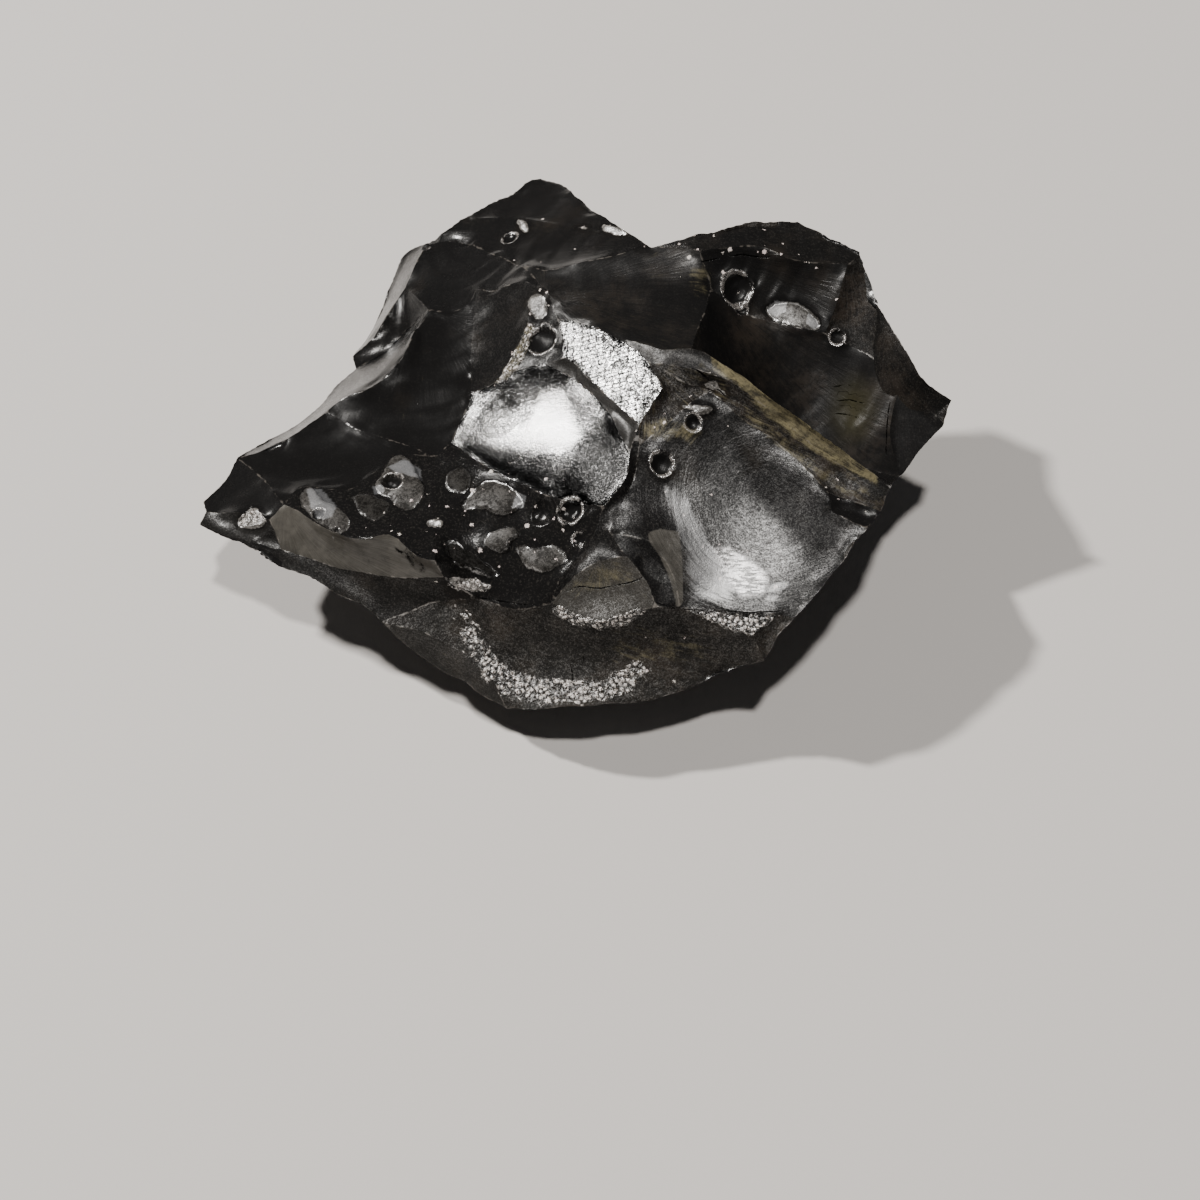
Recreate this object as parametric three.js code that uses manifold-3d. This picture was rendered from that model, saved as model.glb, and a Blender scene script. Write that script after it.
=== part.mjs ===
// Shungite nugget: one lump of black, glassy natural carbon, as it comes from the rock face.
//
// The stone is a flake-scarred solid: each scar is a shallow hollow where a flake sprang off, and the
// scars meet in sharp ridges. It lies on a small flat underneath, with its rim overhanging all round.
// Millimetres, +Z up, +X toward the pointed east tip, +Y toward the back. The origin is under the
// middle of the stone, at the level it rests on.

import * as THREE from 'three';
import Module from 'manifold-3d';
import { ConvexGeometry } from 'three/addons/geometries/ConvexGeometry.js';
import { mergeVertices } from 'three/addons/utils/BufferGeometryUtils.js';

// Driving dimensions, millimetres.
const LENGTH = 68.6;          // west tip to east tip; the whole net below is scaled to it
const MESH_STEP = 1.38;       // side of the small triangles that the skin is laid out in
const BORDER_GAP = 0.62;      // a scar's inner points stay this share of a step away from its ridges
const RELAX_ROUNDS = 300;     // how long a scar's film is let settle
const ROUNDING = 1e-9;        // what counts as nothing when places are compared
const PIT_DETAIL = 2;         // how finely the balls that cut the pits are faceted
const PLATE_ROOT = 0.5;       // how far a plate's root goes down into the stone

// Corners where ridges meet. rim* goes round the widest outline, hip* round the belly under it and
// base* round the flat it rests on; the rest lie on top and are named after the scar they bound.
const CORNERS = {
  tipLow: [-34.3, -11.6, 11.7], tipCleft: [-33.8, -10, 11.6], tipHigh: [-34.3, -8.6, 11.3],
  rimW1: [-31.8, -2.6, 10.2], rimW2: [-24.5, 4.6, 9.7], rimW3: [-21.5, 8.6, 10.2],
  rimW4: [-21.9, 10.5, 9.8], rimNW1: [-14.6, 21.3, 14.5], rimNW2: [-11.4, 23.7, 15.2],
  rimN1: [-3.7, 28.4, 16], rimN2: [4.8, 15.3, 22], rimN3: [7.1, 12.5, 22.9], rimNE1: [20.9, 16.3, 22.2],
  rimNE2: [26.7, 13.1, 21.6], rimE1: [28.1, 8, 19.8], eastTip: [34.4, -1.2, 17],
  eastTipLow: [33.8, -2.7, 15.5], notch: [29.8, -6.6, 12.5], crestEnd: [28.2, -11, 16.4],
  bandEnd: [27.8, -12, 16.2], rimSE1: [27.2, -13.5, 16.2], rimSE2: [26, -15.2, 16],
  rimSE3: [19.2, -23.2, 13.8], rimSE4: [16.6, -25.9, 11], rimS1: [-6.1, -27.4, 5.3],
  rimSW1: [-17.4, -20.2, 8.6], stripMid: [-10.2, -23.3, 7.9], rimSW2: [-29.8, -14.1, 11.7],
  backW: [-10.5, 20, 15.6], backMid: [-5.3, 13.6, 19.2], backE: [0.1, 11.1, 22], summit: [-2.6, 8, 21.5],
  brightTop: [-1.8, 5.1, 21.2], crest1: [3.9, 1.2, 23], crest2: [7.7, -1.2, 24],
  sliverTop: [-16.8, 15.8, 14], shoulderTop: [-14.1, 11, 15.8], creaseTop: [-9.6, 12.5, 17],
  creaseFoot: [-9.9, 2.5, 15.8], spine1: [-6.1, 1.1, 18.4], spine2: [-9.8, 0.1, 16.6],
  spine3: [-11.4, -4.8, 15.2], spine4: [-12.7, -6.2, 14.9], shoulderFoot: [-23.6, 1.2, 12.5],
  mirrorTop: [-2.7, 0.9, 19.7], mirrorEast: [4.8, -10.5, 20.5], mirrorFoot: [2.6, -14.8, 18.7],
  stepTop: [-1, 0.8, 20.7], brightFoot: [5.6, -7.9, 21.6], brightEast: [7.8, -4.9, 23.1],
  bandStart: [6.4, -2.1, 23.5], speckFoot: [5.8, -9.5, 20.8], speckEast: [10.2, -5.9, 22.3],
  bandLow1: [12, -4.5, 22.3], bandLow2: [22.6, -12.1, 17.3], chipTip: [22.8, -13.8, 16.6],
  sillEast: [17.7, -22.8, 13.7], sillLow: [15.5, -24.6, 12.9], scarFoot: [9.2, -22.4, 14],
  spikeFoot: [7.1, -22.6, 14.6], groove2: [4.5, -19, 17], groove1: [2.8, -16.9, 18],
  spikeTop: [6.7, -17.7, 17.5], ovalTop: [2, -19, 16.5], ovalWest: [-2, -21, 12.8],
  frontMid: [-8.9, -19.5, 11.2], taupeEast: [-11.7, -18.2, 12.8], taupeTop: [-12.3, -18.2, 15.3],
  taupeWest: [-26.4, -11, 14], darkTop: [-27.9, -11.9, 12.8], darkFoot: [-26.8, -14, 11.3],
  stripWest: [11.5, 11.7, 23.3], stripEast: [25.4, 11.3, 21.6], hollowEast: [12.6, 8.9, 20.8],
  leeFoot: [10.2, -1.2, 23.6], ledgeTop: [23.2, 6.1, 18], ledgeEnd: [30.3, 1.6, 17],
  hipSW: [-14.8, -16.2, 2.8], hipW: [-21.8, -5.8, 5.5], hipNW1: [-14.8, 5.2, 2.2],
  hipNW2: [-11.3, 15.2, 7.5], hipN1: [-2.3, 22.8, 8], hipN2: [7.7, 13.2, 5.5], hipNE: [19.2, 9.8, 9.5],
  hipE1: [23.2, 2.2, 4.5], hipE2: [26.2, -5.2, 9], hipSE1: [20.7, -12.8, 5.5],
  hipSE2: [14.2, -21.2, 6.5], hipS: [-2.8, -23.2, 1.8], base1: [-3.8, -20.2, 0], base2: [8.7, -18.8, 0],
  base3: [12.7, -14.2, 0], base4: [16.7, -5.8, 0], base5: [13.2, 3.2, 0], base6: [5.2, 5.8, 0],
  base7: [-4.8, 9.2, 0], base8: [-11.3, 1.2, 0], base9: [-12.8, -13.2, 0],
};

// Where a ridge bends on its way between two corners.
const BENDS = {
  'tipHigh rimW1': [[-33, -6.1, 10.7]], 'rimW1 rimW2': [[-29.7, -0.2, 9.6], [-26.9, 2.1, 9.4]],
  'rimW2 rimW3': [[-23.2, 7, 9.6]],
  'rimW4 rimNW1': [[-20.6, 14, 9.2], [-18.5, 19.5, 10.6], [-17.3, 21.8, 12.2]],
  'rimNW1 rimNW2': [[-13.2, 22.2, 14.9]],
  'rimNW2 rimN1': [[-9, 25.3, 15.5], [-6.5, 26.5, 15.8], [-5.2, 28.1, 15.9]],
  'rimN1 rimN2': [[-1.7, 26.7, 17], [0, 23.3, 18.6], [2.7, 18.6, 20.7]],
  'rimN3 rimNE1': [[10.3, 13.3, 23.3], [13.3, 14.5, 23.2], [16.4, 15.9, 22.8]],
  'rimNE1 rimNE2': [[23.7, 14.8, 22]], 'rimNE2 rimE1': [[27.6, 10.6, 20.4]],
  'rimE1 eastTip': [[30, 3.3, 19.6], [31.9, -0.2, 18.8]],
  'rimSE2 rimSE3': [[23.8, -18.2, 15.3], [21, -21.5, 14.5]],
  'rimSE4 rimS1': [[14.9, -26, 9.6], [12.2, -26.3, 8.2], [6.1, -27.8, 7.3], [-1.3, -28.5, 7.4]],
  'rimS1 rimSW1': [[-10.3, -24.7, 5.5], [-13.6, -22.6, 6]],
  'rimSW1 rimSW2': [[-18.2, -19.6, 9], [-21.3, -18.4, 10.3], [-24.2, -16.7, 10.8], [-27, -15.8, 11.1]],
  'rimSW2 tipLow': [[-31.7, -13.1, 11.7]], 'rimNW2 rimN2': [[-5.6, 21.7, 17.2], [-0.2, 18.1, 19.7]],
  'rimNW1 backW': [[-12.5, 21, 15]], 'backW backMid': [[-8, 17, 17.2]],
  'backMid backE': [[-2.8, 11.3, 20.8]], 'backE rimN3': [[4.1, 11.8, 22.6]],
  'rimNW1 sliverTop': [[-16, 18.1, 14.6]], 'sliverTop rimW4': [[-18.5, 12.9, 12.9], [-20.1, 11.1, 11.3]],
  'shoulderTop rimW3': [[-16.6, 11.1, 12.8], [-19.1, 9.5, 11]],
  'shoulderFoot shoulderTop': [[-21.9, 1.9, 13.6], [-19.1, 2.3, 14.8], [-16.5, 4.8, 15.9], [-15.2, 8.5, 16]],
  'rimW1 shoulderFoot': [[-28.7, -2.2, 11.4], [-25.9, -0.8, 12.1]],
  'shoulderTop creaseTop': [[-12.2, 10.6, 15.9], [-10.5, 10.8, 16.6]],
  'creaseTop summit': [[-7.3, 11.2, 18.6], [-4.7, 10.3, 20.4]],
  'creaseTop creaseFoot': [[-9.9, 7.4, 16.3]], 'summit spine1': [[-4.3, 6.3, 20.6], [-4.5, 3.8, 20]],
  'spine1 spine2': [[-7.9, 0.3, 17.5]], 'spine2 spine3': [[-10.2, -1.3, 16]],
  'shoulderFoot spine4': [[-19.7, -2.1, 13.4], [-15.8, -4.2, 14.4]],
  'spine4 taupeWest': [[-16.1, -5.8, 14.6], [-18.3, -7.6, 14.4], [-20.9, -9.5, 14.2], [-25.1, -8.8, 13.8]],
  'rimW1 taupeWest': [[-29, -6.4, 12]], 'tipCleft darkTop': [[-30.7, -10.8, 12.6]],
  'taupeWest taupeTop': [[-24.8, -12.1, 14.4], [-21.6, -14.7, 14.8], [-19.2, -15.8, 15.1], [-16.5, -15.7, 15.7], [-13.9, -17.9, 15.4]],
  'darkFoot taupeEast': [[-21.5, -15.9, 11], [-16.3, -17.2, 11.5]],
  'frontMid rimSW1': [[-12.6, -18.9, 9.9]], 'spine4 taupeTop': [[-12.8, -12.1, 15.4]],
  'spine3 mirrorFoot': [[-8.7, -7.7, 15.9], [-5, -10.8, 17], [-1.3, -13.6, 18]],
  'mirrorFoot mirrorEast': [[4.4, -12.7, 19.8]],
  'mirrorTop mirrorEast': [[0.6, -1.9, 20], [3.1, -5.8, 20.5]],
  'stepTop brightFoot': [[2.3, -3.5, 21.1]], 'brightTop crest1': [[1.3, 3.4, 22.2]],
  'crest2 crestEnd': [[10.5, -1.7, 24.6], [13.3, -3.3, 24.4], [16.3, -5.5, 23.6], [19.4, -7.4, 22.3], [22.6, -8.9, 20.5], [25.8, -10.1, 18.4]],
  'bandStart bandEnd': [[9.3, -3.1, 23.9], [12.7, -4.1, 23.6], [16.7, -6.1, 22.1], [21.6, -8.9, 19.3]],
  'bandStart bandLow1': [[9.3, -3.9, 23.1]], 'bandLow1 bandLow2': [[14.5, -6.3, 20.9], [18.5, -8.3, 19]],
  'speckFoot speckEast': [[8, -7.8, 21.4]], 'speckFoot groove1': [[5, -12.6, 19]],
  'groove2 spikeFoot': [[6.3, -21, 15.6]], 'spikeTop scarFoot': [[8.5, -20.1, 15.7]],
  'scarFoot sillEast': [[13.6, -22.6, 13.8]], 'ovalTop ovalWest': [[0, -19.5, 14.8]],
  'ovalWest spikeFoot': [[0.4, -22.5, 12.5], [2.2, -23.1, 12.9], [4.4, -22.7, 13.5]],
  'mirrorFoot ovalWest': [[0.9, -17.6, 16.3], [-1.3, -19.5, 14.5]],
  'frontMid ovalWest': [[-5, -21, 11.8]], 'rimSW1 stripMid': [[-13.5, -21.4, 8.6]],
  'stripMid rimS1': [[-7.6, -25.2, 6.8]],
  'leeFoot notch': [[13.9, -1.2, 19], [17.8, -1, 14.2], [21.3, -2.5, 12.3], [24.5, -4.5, 11.8]],
  'hollowEast leeFoot': [[11.5, 4.4, 21.9]],
  'stripWest stripEast': [[17.5, 12.5, 22.8], [19.9, 11.6, 22.3]],
  'stripEast ledgeTop': [[24.4, 8.6, 19.8]], 'hollowEast ledgeTop': [[16.2, 7.6, 18.8]],
  'ledgeTop ledgeEnd': [[27, 4.5, 16.9]], 'ledgeEnd notch': [[29, -2.8, 14.6]],
  'tipLow hipW': [[-28.3, -8.9, 8.4]], 'rimW2 hipNW1': [[-19.8, 5.8, 5.6]],
  'rimNW1 hipNW2': [[-13.6, 18.2, 11]], 'rimN1 hipN1': [[-3.6, 25.8, 12]],
  'rimN3 hipN2': [[7.8, 13.4, 14]], 'rimNE1 hipNE': [[20.5, 13.8, 16]],
  'rimE1 hipE1': [[26.2, 5.4, 12.5]], 'eastTip hipE2': [[30.4, -3.2, 12.8]],
  'rimSE1 hipSE1': [[24.5, -13.3, 10.8]], 'hipSW hipW': [[-18.3, -10.9, 4.6]],
  'hipW hipNW1': [[-19.3, -0.2, 4.4]], 'hipNW1 hipNW2': [[-13.3, 10.8, 4.4]],
  'hipNW2 hipN1': [[-7.3, 19.8, 8.6]], 'hipN1 hipN2': [[2.7, 18.8, 6.2]],
  'hipN2 hipNE': [[13.2, 12.2, 8.2]], 'hipNE hipE1': [[21.7, 6.2, 7.4]],
  'hipE1 hipE2': [[25.4, -1.2, 6.2]], 'hipE2 hipSE1': [[24.2, -9.2, 6.6]],
  'hipSE1 hipSE2': [[18.2, -17.2, 6.6]], 'hipSE2 hipS': [[5.7, -23.2, 3.4]],
  'hipS hipSW': [[-9.3, -20.4, 1.8]],
};

// The scars, each with the depth of its hollow and the corners round it, counter-clockwise from outside.
const SCARS = {
  backPlateauHigh: [0.1, 'rimN2 rimN1 rimNW2'],
  backPlateauLow: [0.1, 'rimN3 rimN2 rimNW2 rimNW1 backW backMid backE'],
  upperWest: [0.4, 'backW rimNW1 sliverTop shoulderTop creaseTop summit backMid'],
  sliverA: [0.1, 'rimNW1 rimW4 sliverTop'],
  darkStep: [0.3, 'sliverTop rimW4 rimW3 shoulderTop'],
  sliverB: [0.1, 'shoulderTop rimW3 rimW2 shoulderFoot'],
  sliverC: [0.2, 'rimW2 rimW1 shoulderFoot'],
  westHollow: [0.7, 'shoulderTop shoulderFoot spine4 spine3 spine2 creaseFoot creaseTop'],
  westDip: [0.8, 'shoulderFoot rimW1 taupeWest spine4'],
  spineHollow: [0.3, 'creaseTop creaseFoot spine2 spine1 summit'],
  tipTop: [0.3, 'rimW1 tipHigh tipCleft darkTop taupeWest'],
  tipFront: [0.4, 'tipCleft tipLow rimSW2 darkFoot darkTop'],
  pitsWest: [0.2, 'spine4 taupeWest taupeTop'],
  pitsEast: [0.3, 'spine4 taupeTop taupeEast frontMid ovalWest mirrorFoot spine3'],
  taupe: [0.2, 'taupeWest darkTop darkFoot taupeEast taupeTop'],
  darkBand: [0.4, 'darkFoot rimSW2 rimSW1 frontMid taupeEast'],
  mirror: [0.9, 'spine2 spine3 mirrorFoot mirrorEast mirrorTop spine1'],
  stepBand: [0.3, 'mirrorTop mirrorEast brightFoot stepTop'],
  brightFacet: [0.15, 'brightTop stepTop brightFoot brightEast bandStart crest1'],
  collar: [0.3, 'brightTop summit spine1 mirrorTop stepTop'],
  groove: [0.5, 'brightFoot mirrorEast mirrorFoot ovalWest ovalTop groove2 groove1 speckFoot'],
  speckled: [0.4, 'bandStart brightEast brightFoot speckFoot speckEast bandLow1'],
  bandHigh: [0.25, 'crestEnd crest2 crest1 bandStart bandEnd'],
  bandLow: [0.25, 'bandStart bandLow1 bandLow2 rimSE1 bandEnd'],
  blackChip: [0.3, 'bandLow2 chipTip rimSE2 rimSE1'],
  bigScar: [0.8, 'speckEast speckFoot groove1 spikeTop scarFoot sillEast rimSE3 rimSE2 chipTip bandLow2 bandLow1'],
  spikeFace: [0.3, 'groove1 groove2 spikeFoot scarFoot spikeTop'],
  oval: [0.5, 'ovalTop ovalWest spikeFoot groove2'],
  sill: [0.2, 'scarFoot sillLow sillEast'],
  endFace: [0.3, 'sillLow rimSE4 rimSE3 sillEast'],
  frontScar: [1.2, 'frontMid rimSW1 stripMid rimS1 rimSE4 sillLow scarFoot spikeFoot ovalWest'],
  frontStrip: [0.2, 'rimSW1 rimS1 stripMid'],
  lee: [0.3, 'crest2 crestEnd notch leeFoot'],
  oliveHollow: [0.5, 'summit brightTop crest1 crest2 leeFoot hollowEast stripWest rimN3 backE backMid'],
  topStrip: [0.3, 'rimN3 stripWest stripEast rimNE2 rimNE1'],
  upperWall: [0.5, 'stripWest hollowEast ledgeTop stripEast'],
  brownWall: [0.8, 'stripEast ledgeTop ledgeEnd eastTip rimE1 rimNE2'],
  scoop: [1.0, 'hollowEast leeFoot notch ledgeEnd ledgeTop'],
  rightFace: [0.15, 'ledgeEnd notch eastTipLow'],
  tipFacet: [0.2, 'ledgeEnd eastTipLow eastTip'],
  underWestS: [1.2, 'tipLow hipW hipSW rimSW1 rimSW2'],
  underWestN: [1.2, 'tipLow tipCleft tipHigh rimW1 rimW2 hipNW1 hipW'],
  underNW: [1.6, 'rimW2 rimW3 rimW4 rimNW1 hipNW2 hipNW1'],
  underN1: [1.0, 'rimNW1 rimNW2 rimN1 hipN1 hipNW2'],
  underN2: [1.6, 'rimN1 rimN2 rimN3 hipN2 hipN1'],
  underNE1: [1.8, 'rimN3 rimNE1 hipNE hipN2'],
  underNE2: [1.0, 'rimNE1 rimNE2 rimE1 hipE1 hipNE'],
  underE1: [1.4, 'rimE1 eastTip hipE2 hipE1'],
  underE2: [1.2, 'eastTip eastTipLow notch crestEnd bandEnd rimSE1 hipSE1 hipE2'],
  underSE: [1.4, 'rimSE1 rimSE2 rimSE3 rimSE4 hipSE2 hipSE1'],
  underS: [0.9, 'rimSE4 rimS1 hipS hipSE2'],
  underSW: [0.5, 'rimS1 rimSW1 hipSW hipS'],
  low1: [0.3, 'hipW hipNW1 base8'],
  low2: [0.6, 'hipNW1 hipNW2 base7 base8'],
  low3: [0.6, 'hipNW2 hipN1 base6 base7'],
  low4: [0.3, 'hipN1 hipN2 base6'],
  low5: [0.7, 'hipN2 hipNE base5 base6'],
  low6: [0.2, 'hipNE hipE1 base5'],
  low7: [0.6, 'hipE1 hipE2 base4 base5'],
  low8: [0.5, 'hipE2 hipSE1 base3 base4'],
  low9: [0.5, 'hipSE1 hipSE2 base2 base3'],
  low10: [0.3, 'hipSE2 hipS base1 base2'],
  low11: [0.3, 'hipS hipSW base9 base1'],
  low12: [0.6, 'hipSW hipW base8 base9'],
  base: [0.0, 'base2 base1 base9 base8 base7 base6 base5 base4 base3'],
};

// Round pits: centre x and y, width across the mouth, and depth below the scar.
const PITS = [
  [-3.1, 3.3, 2.7, 0.5], [-16.7, -9.1, 1.9, 0.8], [-23, -12.4, 1.2, 0.7],
  [-0.4, -14.6, 2.1, 0.6], [14.9, 9.5, 3, 0.5], [7.7, -10.7, 2, 0.35], [10.5, -7.2, 1.6, 0.4],
  [-7, -3, 3.8, 0.3], [-7.4, -0.4, 2.5, 0.25], [-6.6, 19, 1.6, 0.35], [24.4, 6, 1.4, 0.35],
  [-3.6, -19.4, 1.1, 0.3], [-3.1, -15.6, 2.3, 0.6], [0.3, -16.7, 1.2, 0.25],
  [5.3, -23.3, 2.3, 0.3],
];

// Small plates that stand on the scars: how far their middle stands up, the rise of the face along x
// and along y, and the corners as x and y.
const PLATES = {
  slab: [0.3, 0.2, 0.02, [[-25.1, -10.1], [-24.5, -8.8], [-23.8, -9.1], [-23.1, -10.6], [-22, -11.2],
    [-20.2, -13.1], [-20.2, -14.3], [-21, -15], [-22, -14.3], [-23.4, -13.2], [-24.7, -11.6]]],
  knob: [0.45, 0.25, 0.06, [[-18.3, -9.2], [-17.6, -7.8], [-16.8, -5.6], [-15.6, -5.8],
    [-14.2, -8.7], [-13.5, -10.2], [-14, -12], [-15, -12.6], [-16.1, -12], [-16.8, -10.7],
    [-17.8, -10.4]]],
  leaf: [0.15, 0.12, -0.04, [[-20.4, -10.1], [-18.5, -10.3], [-16.7, -11.4], [-16.8, -12.8],
    [-17.9, -13.8], [-19.1, -12.9], [-19.9, -11.3]]],
  coin: [0.15, 0.2, 0.05, [[-11.7, -8.4], [-10.5, -7.8], [-9.6, -8.6], [-9.4, -10], [-10.2, -11],
    [-11.5, -10.5], [-11.9, -9.4]]],
  kite: [0.25, 0.3, 0.14, [[-10.6, -12.6], [-9.3, -10.7], [-7.9, -9.3], [-5.1, -11.6], [-4.4, -12.6],
    [-5.6, -13.5], [-6.7, -13.5], [-8.3, -12.5]]],
  shell: [0.3, 0.26, 0.34, [[-8.4, -15.6], [-7.4, -14.5], [-5.5, -14.6], [-4.8, -15.4],
    [-5.8, -15.6], [-6.1, -16.5], [-7.3, -16.5]]],
  scale: [0.25, 0.38, 0.36, [[-5.4, -16.3], [-4.6, -16], [-3.7, -16.8], [-2.3, -16.6], [-1.2, -17.2],
    [-0.6, -18], [-1.2, -18.5], [-2.6, -18.9], [-3.9, -18.2], [-4.8, -17.5]]],
  lens: [0.2, 0.2, 0.75, [[-11.6, -18.3], [-10.3, -18.3], [-8.9, -18.2], [-7.5, -18.9], [-8, -19.2],
    [-9.4, -19.1], [-10.8, -18.7]]],
  fin: [0.15, -0.12, 0.44, [[-11.7, -15.6], [-10.7, -15.6], [-9.4, -16.4], [-7.8, -17.2],
    [-6.7, -18], [-7.3, -18.4], [-8.9, -18], [-10.7, -17.6], [-11.6, -16.7]]],
  bead: [0.15, 0.42, 0.24, [[-13.5, -14.2], [-12.6, -13.4], [-11.5, -14.1], [-12.1, -14.9]]],
  nub: [0.25, 0.45, 0.25, [[-4.7, 8], [-4.1, 8.6], [-3, 7.6], [-2.7, 6.9], [-2.7, 5.8], [-3.2, 5.4],
    [-3.9, 5.8]]],
  flashWest: [0.12, 0.41, 0.2, [[-6, 21.4], [-5.2, 21.1], [-4.6, 20], [-4.7, 19.1], [-5.4, 19.7]]],
  flashEast: [0.12, 0.41, 0.2, [[2.3, 17.2], [3.3, 16.8], [4.3, 15.9], [4.9, 14.9], [3.7, 15.2],
    [2.5, 16.2]]],
  eye: [0.05, -0.02, 0.44, [[17.6, 7.9], [17.9, 8.7], [19.5, 8.9], [21.1, 8.6], [22.3, 7.7],
    [22.9, 6.8], [22.5, 6.3], [20.9, 6.5], [19.2, 7.1]]],
  pin: [0.1, 0.1, 0.6, [[11.4, -4.2], [12.2, -4.2], [13, -4.6], [13.5, -5], [12.5, -4.7],
    [11.7, -4.4]]],
  chip: [0.12, -0.02, 0.44, [[9.3, -6.1], [10.4, -5.9], [11.4, -5.8], [12.4, -6.1], [11.6, -6.6],
    [10.2, -6.5]]],
};

const wasm = await Module();
wasm.setup();

const netLength = CORNERS.eastTip[0] - CORNERS.tipHigh[0];
const scale = LENGTH / netLength;
const place = (xyz) => new THREE.Vector3(...xyz).multiplyScalar(scale);

// --- The skin's points -------------------------------------------------------------------------

const points = [];
const cornerIndex = {};
const ridgeLists = new Map();

function addPoint(point) {
  return points.push(point) - 1;
}

for (const [name, xyz] of Object.entries(CORNERS)) cornerIndex[name] = addPoint(place(xyz));

// A ridge is one smooth curve between two corners, through its bends, walked in even steps. The
// scars on its two sides share the same points, which keeps the skin closed.
function ridgePoints(from, to) {
  const way = `${from} ${to}`;
  const wayBack = `${to} ${from}`;
  if (ridgeLists.has(wayBack)) return [...ridgeLists.get(wayBack)].reverse();
  if (!ridgeLists.has(way)) {
    const bends = BENDS[way] ?? [...(BENDS[wayBack] ?? [])].reverse();
    const through = [CORNERS[from], ...bends, CORNERS[to]].map(place);
    const curve = new THREE.CatmullRomCurve3(through, false, 'centripetal');
    const steps = Math.max(1, Math.round(curve.getLength() / MESH_STEP));
    const inner = curve.getSpacedPoints(steps).slice(1, -1).map(addPoint);
    ridgeLists.set(way, [cornerIndex[from], ...inner, cornerIndex[to]]);
  }
  return ridgeLists.get(way);
}

// --- Laying a scar out flat ----------------------------------------------------------------------

// The plane that fits a closed outline best, as a centre, a normal and two directions in the plane.
function planeOf(outline) {
  const normal = new THREE.Vector3();
  const centre = new THREE.Vector3();
  outline.forEach((p, i) => {
    const q = outline[(i + 1) % outline.length];
    normal.x += (p.y - q.y) * (p.z + q.z);
    normal.y += (p.z - q.z) * (p.x + q.x);
    normal.z += (p.x - q.x) * (p.y + q.y);
    centre.addScaledVector(p, 1 / outline.length);
  });
  normal.normalize();
  const along = new THREE.Vector3(1, 0, 0);
  if (Math.abs(normal.x) > 0.9) along.set(0, 1, 0);
  along.addScaledVector(normal, -along.dot(normal)).normalize();
  return { centre, normal, along, across: new THREE.Vector3().crossVectors(normal, along) };
}

function flatten(point, plane) {
  const offset = point.clone().sub(plane.centre);
  return new THREE.Vector2(offset.dot(plane.along), offset.dot(plane.across));
}

const doubleArea = (a, b, c) => (b.x - a.x) * (c.y - a.y) - (b.y - a.y) * (c.x - a.x);

// True when p lies inside the triangle a, b, c or on its edge.
function holds(a, b, c, p) {
  return Math.min(doubleArea(a, b, p), doubleArea(b, c, p), doubleArea(c, a, p)) > -ROUNDING;
}

// How well rounded a triangle is: largest for an equal-sided one, below zero when it is turned over.
function roundness(a, b, c) {
  const sides = a.distanceToSquared(b) + b.distanceToSquared(c) + c.distanceToSquared(a);
  return doubleArea(a, b, c) / sides;
}

// Cuts an outline into triangles by taking off its best-shaped ear again and again.
function clipEars(flat) {
  const left = flat.map((_, i) => i);
  const triangles = [];
  while (left.length > 3) {
    let best = 0;
    let bestShape = -Infinity;
    for (let k = 0; k < left.length; k++) {
      const [a, b, c] = [left.at(k - 1), left[k], left[(k + 1) % left.length]];
      const shape = roundness(flat[a], flat[b], flat[c]);
      if (shape <= bestShape) continue;
      if (left.some((i) => ![a, b, c].includes(i) && holds(flat[a], flat[b], flat[c], flat[i]))) continue;
      best = k;
      bestShape = shape;
    }
    triangles.push([left.at(best - 1), left[best], left[(best + 1) % left.length]]);
    left.splice(best, 1);
  }
  triangles.push([...left]);
  return triangles;
}

function distanceToBorder(flat, p) {
  let nearest = Infinity;
  flat.forEach((a, i) => {
    const side = flat[(i + 1) % flat.length].clone().sub(a);
    const t = THREE.MathUtils.clamp(p.clone().sub(a).dot(side) / side.lengthSq(), 0, 1);
    nearest = Math.min(nearest, p.distanceTo(a.clone().addScaledVector(side, t)));
  });
  return nearest;
}

// Lets a honeycomb of inner points into the triangles, clear of the border.
function addInnerPoints(flat, triangles) {
  const border = [...flat];
  const box = new THREE.Box2().setFromPoints(border);
  const rowHeight = MESH_STEP * Math.sqrt(3) / 2;
  let row = 0;
  for (let y = box.min.y + rowHeight / 2; y < box.max.y; y += rowHeight) {
    row += 1;
    for (let x = box.min.x + (row % 2) * MESH_STEP / 2; x < box.max.x; x += MESH_STEP) {
      const p = new THREE.Vector2(x, y);
      if (distanceToBorder(border, p) < BORDER_GAP * MESH_STEP) continue;
      const host = triangles.findIndex(([a, b, c]) => holds(flat[a], flat[b], flat[c], p));
      if (host < 0) continue;
      const [a, b, c] = triangles[host];
      const added = flat.push(p) - 1;
      triangles.splice(host, 1, [a, b, added], [b, c, added], [c, a, added]);
    }
  }
}

// True when d lies inside the circle through a, b and c.
function insideCircle(a, b, c, d) {
  const rows = [a, b, c].map((p) => {
    const x = p.x - d.x;
    const y = p.y - d.y;
    return [x, y, x * x + y * y];
  });
  const [[ax, ay, aw], [bx, by, bw], [cx, cy, cw]] = rows;
  return ax * (by * cw - cy * bw) - ay * (bx * cw - cx * bw) + aw * (bx * cy - cx * by) > ROUNDING;
}

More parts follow.
